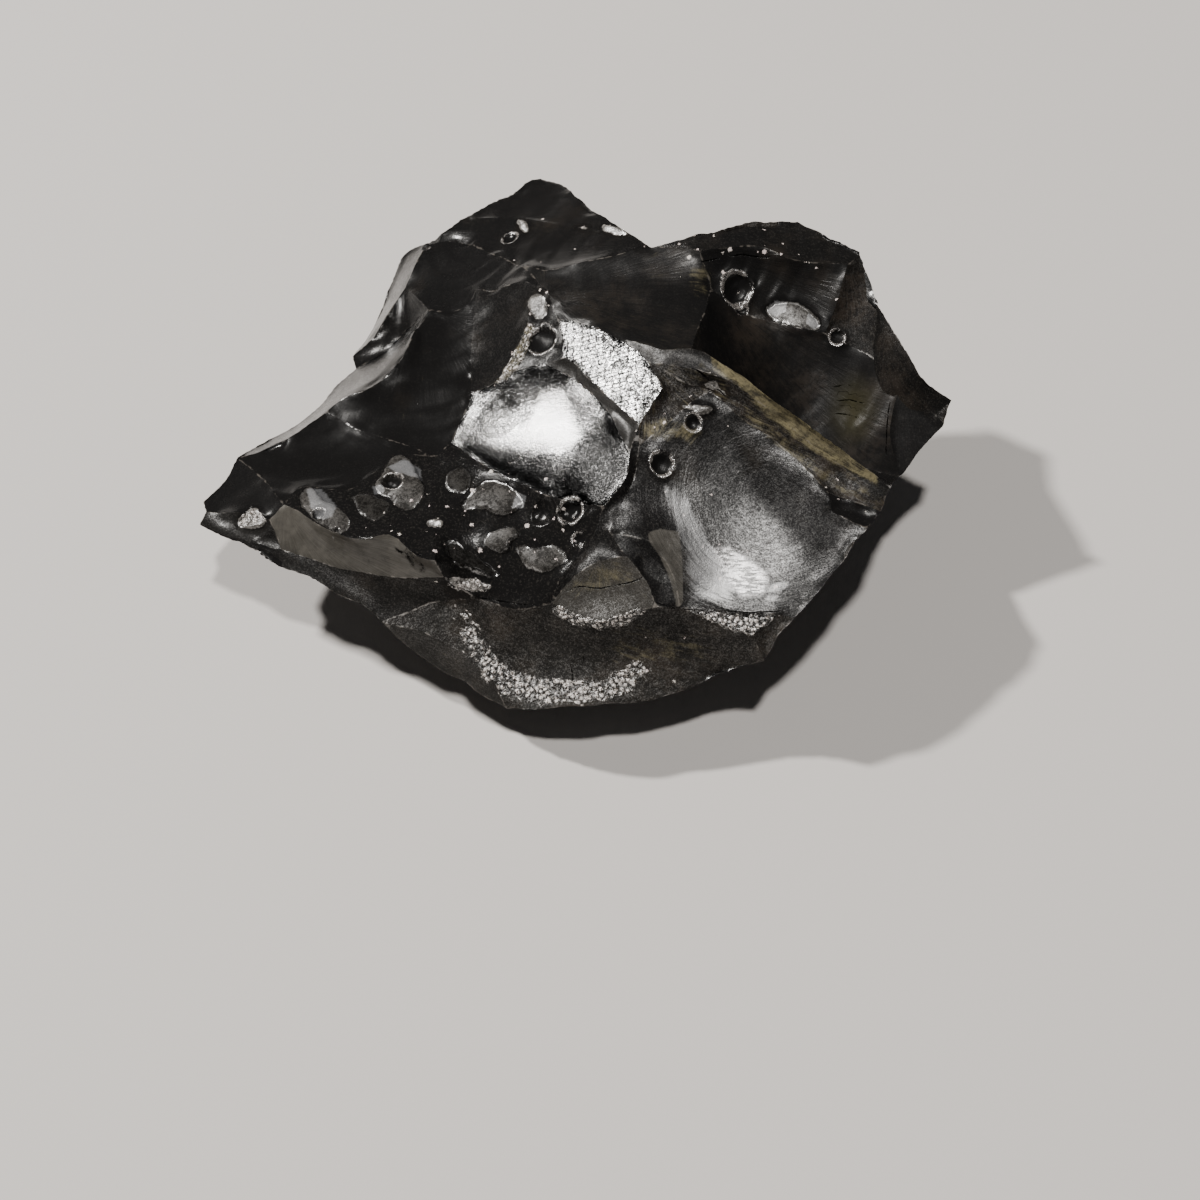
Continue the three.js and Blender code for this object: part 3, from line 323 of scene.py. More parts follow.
def honeycomb(low, high, step):
    """Points of a honeycomb that fills a flat box."""
    rows_up = np.arange(low[1], high[1], step * math.sqrt(0.75))
    cells = []
    for number, y in enumerate(rows_up):
        xs = np.arange(low[0] + (number % 2) * step / 2, high[0], step)
        cells.append(np.stack([xs, np.full(len(xs), y)], axis=1))
    return np.concatenate(cells)


def press_in(flat, triangles, border_count, border_heights, depth):
    """Heights of a film between the ridges, pressed in by the given depth in the middle."""
    count = len(flat)
    rim_ends, far_ends, weights = [], [], []
    area = np.zeros(count)
    for k in range(3):
        i, j, o = triangles[:, k], triangles[:, (k + 1) % 3], triangles[:, (k + 2) % 3]
        to_i, to_j = flat[i] - flat[o], flat[j] - flat[o]
        twice = np.abs(to_i[:, 0] * to_j[:, 1] - to_i[:, 1] * to_j[:, 0]) + NEAR_NOTHING
        weight = np.clip((to_i * to_j).sum(axis=1) / twice, *PULL_RANGE) / 2
        rim_ends += [i, j]
        far_ends += [j, i]
        weights += [weight, weight]
        area += np.bincount(i, twice / 6, count)
    rim_ends, far_ends, weights = (np.concatenate(part) for part in (rim_ends, far_ends, weights))
    total = np.bincount(rim_ends, weights, count)
    free = np.arange(count) >= border_count

    def pull(x):
        return np.where(free, total * x - np.bincount(rim_ends, weights * x[far_ends], count), 0)

    def settle(start, load):
        """Lets the film come to rest under a load, by conjugate steps."""
        x = start.copy()
        rest = np.where(free, load, 0) - pull(x)
        step = rest / total
        worth = rest @ step
        for _ in range(SETTLING_ROUNDS):
            moved = pull(step)
            share = worth / (step @ moved + 1e-30)
            x += share * step
            rest -= share * moved
            ready = rest / total
            newer = rest @ ready
            if newer < SETTLED:
                break
            step = ready + newer / worth * step
            worth = newer
        return x

    start = np.zeros(count)
    start[:border_count] = border_heights
    film = settle(start, np.zeros(count))
    if depth == 0 or not free.any():
        return film
    bowl = settle(np.zeros(count), area)
    return film - depth * bowl / bowl.max()


faces = []
face_scar = []
flow = []
scar_of = {}
border_gap = {}


def fill_with_points(border, step, zones):
    """Points inside a scar's border: a honeycomb, with a finer one in the given zones."""
    low, high = border.min(axis=0), border.max(axis=0)
    filled = []
    for cells, gap, fine in ((honeycomb(low, high, step), RIDGE_ROOM * step, False),
                             (honeycomb(low, high, FINE_STEP), FINE_ROOM, True)):
        in_zone = np.zeros(len(cells), bool)
        for middle, radius in zones:
            in_zone |= ((cells - middle)**2).sum(axis=1) < radius * radius
        cells = cells[in_zone == fine]
        cells = cells[inside_outline(cells, border)]
        filled.append(cells[nearest(cells, border) > gap] if len(cells) else cells)
    return np.concatenate(filled)


def flow_from(flat, struck, number):
    """Places that run outward from the blow and round it, for streaks and ripples."""
    ahead = -struck / np.linalg.norm(struck)
    reach = flat - struck
    run, aside = reach @ ahead, reach @ np.array([-ahead[1], ahead[0]])
    return np.stack([np.hypot(run, aside), np.arctan2(aside, run) * FLOW_REACH,
                     np.full(len(flat), number * SCAR_SHIFT)], axis=1)


def lay_scar(number, name, depth, corners):
    """Lays one scar out, presses it in and adds it to the skin."""
    loop = []
    for a, b in zip(corners, corners[1:] + corners[:1]):
        loop += ridge_points(a, b)[:-1]
    outline = np.array([points[i] for i in loop])
    centre, normal, along, across = plane_of(outline)
    offset = outline - centre
    border = np.stack([offset @ along, offset @ across], axis=1)
    step = UNDER_STEP if name.startswith(UNDER) else TOP_STEP
    zones = []
    for *middle, radius in FINE_ZONES if step == TOP_STEP else ():
        off = middle - centre
        if abs(off @ normal) < FINE_REACH:
            zones.append(((off @ along, off @ across), radius))
    inner = fill_with_points(border, step, zones)
    flat = np.concatenate([border, inner])
    ring = list(range(len(loop)))
    sides = list(zip(ring, ring[1:] + ring[:1]))
    result = delaunay_2d_cdt([Vector(p) for p in flat], sides, [ring], 1, 1e-7)
    came_from = [origin[0] for origin in result[3]]
    triangles = np.array([[came_from[i] for i in face] for face in result[2]])
    a, b, c = (flat[triangles[:, k]] for k in range(3))
    turned = (b[:, 0] - a[:, 0]) * (c[:, 1] - a[:, 1]) < (b[:, 1] - a[:, 1]) * (c[:, 0] - a[:, 0])
    triangles[turned] = triangles[turned][:, ::-1]
    heights = press_in(flat, triangles, len(loop), offset @ normal, depth)
    place = centre + np.outer(flat[:, 0], along) + np.outer(flat[:, 1], across) + np.outer(heights, normal)
    if name in STRUCK:
        off = STRUCK[name] - centre
        polar = flow_from(flat, np.array([off @ along, off @ across]), number)[:, [1, 0, 2]] * ARC_STRETCH
    else:
        polar = flow_from(flat, border[0], number)
    flow.append(polar[triangles])
    numbers = np.array(loop + add_points(place[len(loop):]))
    hard = border[[i not in soft_points for i in loop]]
    if len(inner):
        border_gap.update(zip(numbers[len(loop):], nearest(inner, hard)))
        scar_of.update((i, number) for i in numbers[len(loop):])
    faces.append(numbers[triangles])
    face_scar.append(np.full(len(triangles), number))


soften("spine4 taupe_top", "crease_top crease_foot", "crease_foot spine2", "rim_nw2 rim_n2",
       "strip_east ledge_top", "ledge_end notch", "east_tip_low notch")
for number, (name, (depth, corners)) in enumerate(SCARS.items()):
    lay_scar(number, name, depth, corners)

points = np.array(points)
faces, flow, face_scar = (np.concatenate(part) for part in (faces, flow, face_scar))
scar_names = list(SCARS)

# ---- Relief ----
# The scars carry faint ripples from the blow, their ridges are chipped, and gas left round pits
# with raised rims. Thin plates stand on the scars where the glass parted along its layers.

LATTICE_SIDE = 32
LATTICE = np.random.default_rng(11).uniform(-1, 1, (LATTICE_SIDE,) * 3)


def noise(place, size, shift=0.0):
    """Smooth random lumps of the given size in millimetres, between -1 and 1."""
    cell = place / size + shift
    low = np.floor(cell).astype(int)
    t = cell - low
    t = t * t * (3 - 2 * t)
    total = np.zeros(len(place))
    for corner in np.ndindex(2, 2, 2):
        share = np.prod(np.where(corner, t, 1 - t), axis=1)
        at = (low + corner) % LATTICE_SIDE
        total += share * LATTICE[at[:, 0], at[:, 1], at[:, 2]]
    return total


def lumps(place, *kinds):
    """Unevenness at the given places, from the height, size and shift of each kind of lump."""
    return sum(height * noise(place, size, shift) for height, size, shift in kinds)


def drift(size, shifts):
    """Smooth random sideways shifts of every skin point, one noise for each direction."""
    return np.stack([noise(points, size, shift) for shift in shifts], axis=1)


def ramp(low, high, value):
    """Rises smoothly from 0 at low to 1 at high."""
    t = np.clip((value - low) / (high - low), 0, 1)
    return t * t * (3 - 2 * t)


def edge_distance(flat, outline):
    """How far each flat point lies inside an outline; below zero outside it."""
    best = np.full(len(flat), np.inf)
    for a, b in zip(outline, np.roll(outline, -1, axis=0)):
        side = b - a
        t = np.clip((flat - a) @ side / (side @ side), 0, 1)
        best = np.minimum(best, np.linalg.norm(flat - a - np.outer(t, side), axis=1))
    return np.where(inside_outline(flat, outline), best, -best)


def point_normals():
    """The direction the skin faces at each point."""
    a, b, c = (points[faces[:, k]] for k in range(3))
    normals = np.zeros_like(points)
    for k in range(3):
        np.add.at(normals, faces[:, k], np.cross(b - a, c - a))
    return normals / np.linalg.norm(normals, axis=1)[:, None]


# each scar's roughness, shine, grain, golden film, brown film, grey haze and waviness; on the taupe
# facet the grey haze is a painted reflection of the paper
LOOK = rows("""
    back_plateau_high 0.24 0.15 0.25 0 0.15 0 0.5, back_plateau_low 0.22 0.17 0.25 0 0.2 0 0.4,
    upper_west 0.26 0.16 0.15 0 0.1 0 0.45, sliver_a 0.2 0.8 0.5 0 0 0 0.2,
    sliver_b 0.2 0.8 0.5 0 0 0 0.2, sliver_c 0.2 0.8 0.5 0 0 0 0.2, dark_step 0.2 0.07 0.3 0 0 0 0.8,
    west_hollow 0.24 0.07 0.12 0 0.05 0 0.45, west_dip 0.24 0.05 0.12 0 0 0 0.4,
    spine_hollow 0.3 0.07 0.4 0 0.2 0 0.8, tip_top 0.26 0.12 0.15 0 0 0 0.4,
    tip_front 0.34 0.2 0.5 0 0.1 0.08 1, pits_west 0.18 0.08 0.6 0 0 0 0.7,
    pits_east 0.18 0.08 0.6 0 0 0 0.7, taupe 0.3 0.12 0.08 0 0 1 0.08,
    dark_band 0.4 0.06 0.6 0 0.2 0.05 0.8, mirror 0.22 0.52 0.9 0 0 0 0.25,
    step_band 0.34 0.25 0.3 0 0.1 0.15 0.6, bright_facet 0.28 1.4 1 0 0 0 0.1,
    collar 0.34 0.12 0.5 0 0.15 0 0.8, groove 0.38 0.12 0.6 0.05 0.2 0 0.8,
    speckled 0.4 0.1 0.8 0.2 0.4 0 1, band_high 0.45 0.25 0.4 0.15 0.3 0 0.5,
    band_low 0.46 0.18 0.6 0.25 0.5 0 0.8, black_chip 0.22 0.05 0.2 0 0 0 0.8,
    big_scar 0.3 0.23 0.5 0 0.2 0 0.2, spike_face 0.4 0.12 0.5 0.05 0.1 0 0.8,
    oval 0.44 0.22 0.8 0.1 0.2 0.45 0.6, sill 0.42 0.3 1 0.1 0.3 0 1,
    end_face 0.46 0.12 0.8 0.05 0.4 0.1 1, front_scar 0.48 0.09 0.9 0.05 0.35 0.1 0.8,
    front_strip 0.46 0.14 0.5 0.05 0.3 0.15 0.8, lee 0.24 0.15 0.3 0 0.1 0 0.6,
    olive_hollow 0.34 0.16 0.15 0.06 0.25 0 0.7, top_strip 0.28 0.2 0.4 0 0.25 0 0.8,
    upper_wall 0.26 0.15 0.15 0 0.2 0 0.8, brown_wall 0.48 0.07 0.5 0 0.5 0 0.8,
    scoop 0.34 0.03 0.12 0 0.3 0 0.35, right_face 0.4 0.012 0.2 0 0.05 0 0.3,
    tip_facet 0.42 0.12 0.8 0.05 0.45 0 0.5, base 0.5 0.2 0.8 0.05 0.5 0.2 1,
    under_e1 0.42 0.05 0.5 0 0.3 0 0.6, under_e2 0.42 0.05 0.5 0 0.3 0 0.6
""")
# the same for the scars underneath, which take one of these four looks each
UNDER_LOOK = places("""
    0.2 0.35 0.3 0 0.1 0 0.7, 0.4 0.2 0.6 0.05 0.4 0.1 1,
    0.26 0.5 0.4 0 0.1 0 0.6, 0.46 0.15 0.8 0.1 0.5 0.1 1
""")
looks = np.array([LOOK.get(name, UNDER_LOOK[7 * k % len(UNDER_LOOK)]) for k, name in enumerate(scar_names)])

upper = np.zeros(len(points), bool)
upper[faces[[not scar_names[s].startswith(UNDER) for s in face_scar]]] = True
gap = np.zeros(len(points))
gap[list(soft_points)] = 1.0
gap[list(border_gap)] = list(border_gap.values())
scar_number = np.full(len(points), -1)
scar_number[list(scar_of)] = list(scar_of.values())
on_ridge = scar_number < 0
normals = point_normals()


def on_scar(name):
    """Which points lie on the named scar, between its ridges."""
    return scar_number == scar_names.index(name)


# how far apart the ripples of a scar are and how high they stand, millimetres
PLAIN_RIPPLE = (2.0, 0.012)
RIPPLES = rows("""
    big_scar 1.6 0.006, mirror 2.1 0.006, west_hollow 2.4 0.02, west_dip 2.2 0.018, scoop 2 0.022,
    olive_hollow 2.4 0.02, taupe 1.3 0.01, sliver_a 1.4 0.008, sliver_b 1.6 0.008, bright_facet 1.4 0.006,
    front_scar 2 0.03, upper_wall 1.7 0.035, top_strip 1.3 0.03, speckled 1.4 0.02, band_high 0.9 0.02,
    band_low 0.8 0.025, back_plateau_low 2.6 0.02, upper_west 2.2 0.025, under_west_n 2.6 0.05,
    under_west_s 2.4 0.05, under_nw 2.2 0.05, under_n1 2.6 0.04, under_n2 2.4 0.05, under_ne1 2.6 0.05,
    under_e1 2.2 0.05, under_se 2.4 0.05
""")
spread = np.zeros(len(points))
spread[faces] = flow[:, :, 0]
for name, origin in STRUCK.items():
    own = on_scar(name)
    spread[own] = np.linalg.norm(points[own] - origin, axis=1)
apart, high = (np.full(len(points), size) for size in PLAIN_RIPPLE)
for name, (step, height) in RIPPLES.items():
    own = on_scar(name)
    apart[own] = step
    high[own] = height
phase = 2 * math.pi * spread / apart + 2.2 * noise(points, 5.0, 3.1)
swell = np.sin(phase + 0.6 * np.sin(phase)) * high * ramp(0.1, 1.4, gap) * ramp(0.8, 2.4, spread)
swell *= 0.35 + 0.65 * ramp(-0.3, 0.5, noise(points, 6.0, 8.2))

waviness = looks[scar_number, 6]
calm = np.where(on_ridge, 1.0, 1 - ramp(0.2, 1.2, gap) * (1 - waviness))
lift = swell + calm * lumps(points, (0.10, 5.2, 1.7), (0.035, 2.1, 5.5), (0.010, 0.8, 6.1))

# chips along the ridges: how far in they reach, their depth, how many there are, their size and shift
CHIPS = places("0 0.9 0.1 0.05 0.6 1.3 2.3, 0 0.6 0.02 -0.1 0.6 0.7 9.4, 0.2 1.6 0.3 0.25 0.6 2.9 4.8")
chips = np.zeros(len(points))
for start, stop, depth, few, many, size, shift in CHIPS:
    chips += (1 - ramp(start, stop, gap)) * depth * ramp(few, many, noise(points, size, shift))
lift -= chips * np.where(on_ridge, 1.0, 0.25 + 0.75 * waviness.clip(0, 1))

SKIN_STRAY = 0.13         # how far the skin strays sideways, millimetres
RIDGE_STRAY = 0.03        # how much more its ridges stray
wander = drift(2.2, (0.4, 7.7, 12.9))
near_ridge = 1 - ramp(0.0, 0.9, gap)
shift = SKIN_STRAY * wander * calm[:, None]
shift += RIDGE_STRAY * near_ridge[:, None] * drift(0.7, (3.4, 9.7, 15.9))
shift[:, 2] = np.where(upper, shift[:, 2], np.maximum(shift[:, 2], 0))

# plates: name, how far they stand up, the rise of their faces along x and y, shine, and corners;
# the shine also sets how bright a grey is painted on each plate as its highlight
LENS = "-11.6 -18.3, -10.3 -18.3, -8.9 -18.2, -7.5 -18.9, -8 -19.2, -9.4 -19.1, -10.8 -18.7"
TOOTH = "-30.8 -11.4, -29.6 -9.9, -28 -11.8, -28.6 -12.3, -29.7 -12.2, -30.6 -12"
PLATES = outlines(f"""
    slab 0.3 0.16 0 0.27: -25.1 -10.1, -24.5 -8.8, -23.8 -9.1, -23.1 -10.6, -22 -11.2, -20.2 -13.1,
        -20.2 -14.3, -21 -15, -22 -14.3, -23.4 -13.2, -24.7 -11.6;
    knob 0.45 0.2 0.02 0.28: -18.3 -9.2, -17.6 -7.8, -16.8 -5.6, -15.6 -5.8, -14.2 -8.7, -13.5 -10.2,
        -14 -12, -15 -12.6, -16.1 -12, -16.8 -10.7, -17.8 -10.4;
    leaf 0.15 0.12 -0.04 0.12: -20.4 -10.1, -18.5 -10.3, -16.7 -11.4, -16.8 -12.8, -17.9 -13.8,
        -19.1 -12.9, -19.9 -11.3;
    coin 0.15 0.18 0.05 0.14: -11.7 -8.4, -10.5 -7.8, -9.6 -8.6, -9.4 -10, -10.2 -11, -11.5 -10.5,
        -11.9 -9.4;
    kite 0.25 0.28 0.12 0.25: -10.6 -12.6, -9.3 -10.7, -7.9 -9.3, -5.1 -11.6, -4.4 -12.6, -5.6 -13.5,
        -6.7 -13.5, -8.3 -12.5;
    shell 0.3 0.26 0.34 0.27: -8.4 -15.6, -7.4 -14.5, -5.5 -14.6, -4.8 -15.4, -5.8 -15.6, -6.1 -16.5,
        -7.3 -16.5;
    scale 0.25 0.34 0.36 0.27: -5.4 -16.3, -4.6 -16, -3.7 -16.8, -2.3 -16.6, -1.2 -17.2, -0.6 -18,
        -1.2 -18.5, -2.6 -18.9, -3.9 -18.2, -4.8 -17.5;
    lens 0.2 0.2 0.75 0.9: {LENS};
    tooth 0.15 0.38 0.22 0.9: {TOOTH};
    fin 0.15 -0.12 0.44 0.07: -11.7 -15.6, -10.7 -15.6, -9.4 -16.4, -7.8 -17.2, -6.7 -18, -7.3 -18.4,
        -8.9 -18, -10.7 -17.6, -11.6 -16.7;
    bead 0.15 0.42 0.24 0.8: -13.5 -14.2, -12.6 -13.4, -11.5 -14.1, -12.1 -14.9;
    nub 0.25 0.45 0.25 0.6: -4.7 8, -4.1 8.6, -3 7.6, -2.7 6.9, -2.7 5.8, -3.2 5.4, -3.9 5.8;
    flash_west 0.12 0.41 0.2 1: -6 21.4, -5.2 21.1, -4.6 20, -4.7 19.1, -5.4 19.7;
    flash_east 0.12 0.41 0.2 1: 2.3 17.2, 3.3 16.8, 4.3 15.9, 4.9 14.9, 3.7 15.2, 2.5 16.2;
    flash_mid 0.12 0.42 0.21 1: 0 18.1, 0.6 18.1, 1.1 17.4, 0.6 17.2;
    eye 0.05 -0.02 0.44 0.4: 17.6 7.9, 17.9 8.7, 19.5 8.9, 21.1 8.6, 22.3 7.7, 22.9 6.8, 22.5 6.3,
        20.9 6.5, 19.2 7.1;
    pin 0.1 0.1 0.6 0.9: 11.4 -4.2, 12.2 -4.2, 13 -4.6, 13.5 -5, 12.5 -4.7, 11.7 -4.4;
    chip 0.12 -0.02 0.44 0.6: 9.3 -6.1, 10.4 -5.9, 11.4 -5.8, 12.4 -6.1, 11.6 -6.6, 10.2 -6.5
""")
PLATE_REACH = 4.5         # no plate reaches further than this from its middle
PLATE_ROUNDING = 0.28     # width of the rounding along a plate's edge
PLATE_FALL = 0.22         # how steeply a plate falls away across its rounding
PLATE_DOME = 0.045        # how much a plate's face falls off away from its middle
PLATE_SIDE = (-0.04, 0.10)    # where a plate's side starts and ends, measured in from its outline
LINE_STRAY = 0.12         # how far the outlines of plates and the hairline cracks stray
# round pits: x, y, width across the mouth, depth, height of the rim
PITS = places("""
    -3.1 3.3 2.7 0.5 0.16, -16.7 -9.1 1.9 0.8 0.18, -23 -12.4 1.2 0.7 0.14, -21.4 -14.2 0.5 0.3 0.05,
    -0.4 -14.6 2.1 0.6 0.18, 14.9 9.5 2.8 0.45 0.1, 7.7 -10.7 2 0.4 0.1, 10.5 -7.2 1.6 0.4 0.1,
    -7 -3 3.8 0.13 0, -7.4 -0.4 2.5 0.1 0, -6.6 19 1.6 0.35 0.08, 24.4 6 1.4 0.35 0.1,
    25.8 -0.2 2.7 0.2 0, 15.4 8.1 1.2 0.2 0.05, -2.9 -13.9 2.3 0.5 0, 0.3 -16.7 1.2 0.25 0.03,
    -15 20.6 0.9 0.25 0.05, 5.3 -23.3 1.9 0.25 0
""")

tops = np.flatnonzero(upper)
laid = points[:, :2].copy()


def skin_at(x, y):
    """The skin point nearest to a place seen from above."""
    return tops[((laid[tops] - (x, y))**2).sum(axis=1).argmin()]


def rounded(outline):
    """An outline with its corners cut off."""
    after = np.roll(outline, -1, axis=0)
    return np.stack([0.75 * outline + 0.25 * after, 0.25 * outline + 0.75 * after], axis=1).reshape(-1, 2)


def eased(places_now, share):
    """The places drawn towards the middle of their neighbours by each one's share."""
    total = np.zeros_like(places_now)
    count = np.zeros(len(places_now))
    for k in range(3):
        for other in ((k + 1) % 3, (k + 2) % 3):
            np.add.at(total, faces[:, k], places_now[faces[:, other]])
            np.add.at(count, faces[:, k], 1)
    return places_now + share[:, None] * (total / count[:, None] - places_now)


points = points + normals * lift[:, None] + shift
# drawn in and back out again, so the ridges lose their saw teeth and keep their place
for share in (0.55, -0.52):
    points = eased(points, share * (1 - ramp(0.2, 1.0, gap)))
plate_mask = np.full(len(points), -1.0)
plate_shine = np.zeros(len(points))
for (name, *sizes), outline in PLATES:
    stand, rise_x, rise_y, gleam = map(float, sizes)
    middle = outline.mean(axis=0)
    level = np.mean([points[skin_at(x, y)][2] for x, y in outline]) + stand
    own = tops[np.linalg.norm(laid[tops] - middle, axis=1) < PLATE_REACH]
    ragged = lumps(points[own], (0.12, 0.8, 3.3), (0.09, 0.35, 1.9))
    inward = edge_distance(laid[own] + LINE_STRAY * wander[own, :2], rounded(outline)) + ragged
    face = level + (laid[own] - middle) @ (rise_x, rise_y) - PLATE_FALL * (PLATE_ROUNDING - inward).clip(0)
    face += 0.03 * noise(points[own], 1.6, 6.6) - PLATE_DOME * ((laid[own] - middle)**2).sum(axis=1)
    share = ramp(*PLATE_SIDE, inward)
    points[own, 2] += share * (face - points[own, 2])
    plate_shine[own] = np.where(inward > -0.3, gleam, plate_shine[own])
    plate_mask[own] = np.maximum(plate_mask[own], inward)

PIT_REACH = 1.6           # how far round a pit the skin is touched, in the pit's widths
BOWL_POWER = 0.8          # rounds the bowl of a pit; a lower number gives steeper walls
RIM_INSIDE = 0.12         # width of a rim's inner slope, in the pit's radii
RIM_OUTSIDE = 0.30        # width of its outer slope, likewise
rim_mask = np.zeros(len(points))
well_mask = np.zeros(len(points))
for x, y, across, deep, rim in PITS:
    centre = points[skin_at(x, y)]
    radius = across / 2
    own = tops[np.linalg.norm(laid[tops] - (x, y), axis=1) < across * PIT_REACH + 0.5]
    away = np.linalg.norm((points[own] - centre) * (1, 1, 0.6), axis=1) / radius
    away *= 1 + 0.12 * noise(points[own], 1.1, 2.2)
    bowl = -deep * (1 - away**2).clip(0)**BOWL_POWER
    reach = np.where(away < 1, RIM_INSIDE, RIM_OUTSIDE + 0.05 / radius)
    wall = rim * np.exp(-((away - 1) / reach)**2) * (0.8 + 0.7 * noise(points[own], 0.8, 7.3))
    points[own] += normals[own] * (bowl + wall)[:, None]
    if rim > 0:
        rim_mask[own] = np.maximum(rim_mask[own], ramp(0.80, 0.92, away) * (1 - ramp(1.02, 1.3, away)))
        well_mask[own] = np.maximum(well_mask[own], 1 - ramp(0.6, 1.0, away))

# the stone stands on its flat and keeps inside its solid's box, with a little to spare
MM = 0.001
BOX_SPARE = 0.3
points[:, 2] = points[:, 2].clip(0, None)
box_low, box_high = (np.array(corner) / MM for corner in cad_box)
points = points.clip(box_low - BOX_SPARE, box_high + BOX_SPARE)


def put_in_scene(name, data):
    """Makes an object of a mesh, a lamp or a camera and puts it in the scene."""
    made = bpy.data.objects.new(name, data)
    bpy.context.scene.collection.objects.link(made)
    return made


mesh = bpy.data.meshes.new("nugget_skin")
mesh.from_pydata((points * MM).tolist(), [], faces.tolist())
nugget = put_in_scene("nugget_stone", mesh)
mesh.shade_smooth()

SHARP_COSINE = 0.97       # ridges that bend less than this says are shaded as one surface


def mark_sharp_ridges():
    """Keeps the ridges crisp where two scars meet at more than a slight angle."""
    a, b, c = (points[faces[:, k]] for k in range(3))
    facing = np.cross(b - a, c - a)
    facing /= np.linalg.norm(facing, axis=1)[:, None]
    # every edge has two triangles, so sorting the triangles' sides by their ends pairs them up
    sides = np.sort(np.concatenate([faces[:, [k, (k + 1) % 3]] for k in range(3)]), axis=1)
    left, right = (np.lexsort(sides.T) % len(faces)).reshape(-1, 2).T
    bends = (facing[left] * facing[right]).sum(axis=1) < SHARP_COSINE
    ends = np.zeros(len(mesh.edges) * 2, int)
    mesh.edges.foreach_get("vertices", ends)
    sharp = np.zeros(len(mesh.edges), bool)
    sharp[np.lexsort(np.sort(ends.reshape(-1, 2), axis=1).T)] = bends & (face_scar[left] != face_scar[right])
    attribute = mesh.attributes.get("sharp_edge") or mesh.attributes.new("sharp_edge", "BOOLEAN", "EDGE")
    attribute.data.foreach_set("value", sharp)


mark_sharp_ridges()

# the two polished scars: how far their gloss leans along x and y, and how much flatter it looks
GLOSS = rows("mirror -0.03 -0.08 0.1, big_scar -0.07 -0.07 0.1")
corner_normals = np.zeros(len(mesh.loops) * 3, np.float32)
mesh.corner_normals.foreach_get("vector", corner_normals)
corner_normals = corner_normals.reshape(-1, 3)
for name, (lean_x, lean_y, flatter) in GLOSS.items():
    own = np.repeat(face_scar == scar_names.index(name), 3)
    facing = corner_normals[own] + (lean_x, lean_y, 0)
    facing += flatter * (facing.mean(axis=0) - facing)
    corner_normals[own] = facing / np.linalg.norm(facing, axis=1)[:, None]
mesh.normals_split_custom_set(corner_normals.tolist())
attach(nugget, "root")
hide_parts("nugget")

# ---- Where the skin differs ----
# The broken glass isn't the same all over: mineral crust, iron films and haze grew on parts of
# it, and some parts are duller, brighter or cracked. Some of the brighter and darker parts are
# painted light: painted highlights, painted sparkles, a painted olive highlight, and painted shade
# that dims the shine. These areas are noted on the mesh, and the stone's one material reads them.

SEAM = "-4.4 5.3, -3.7 5.3, -4.2 3.1, -5 1.7, -6.5 0.3, -7.6 0.2, -6.7 1.8, -5.7 3.2, -5.1 4.4"
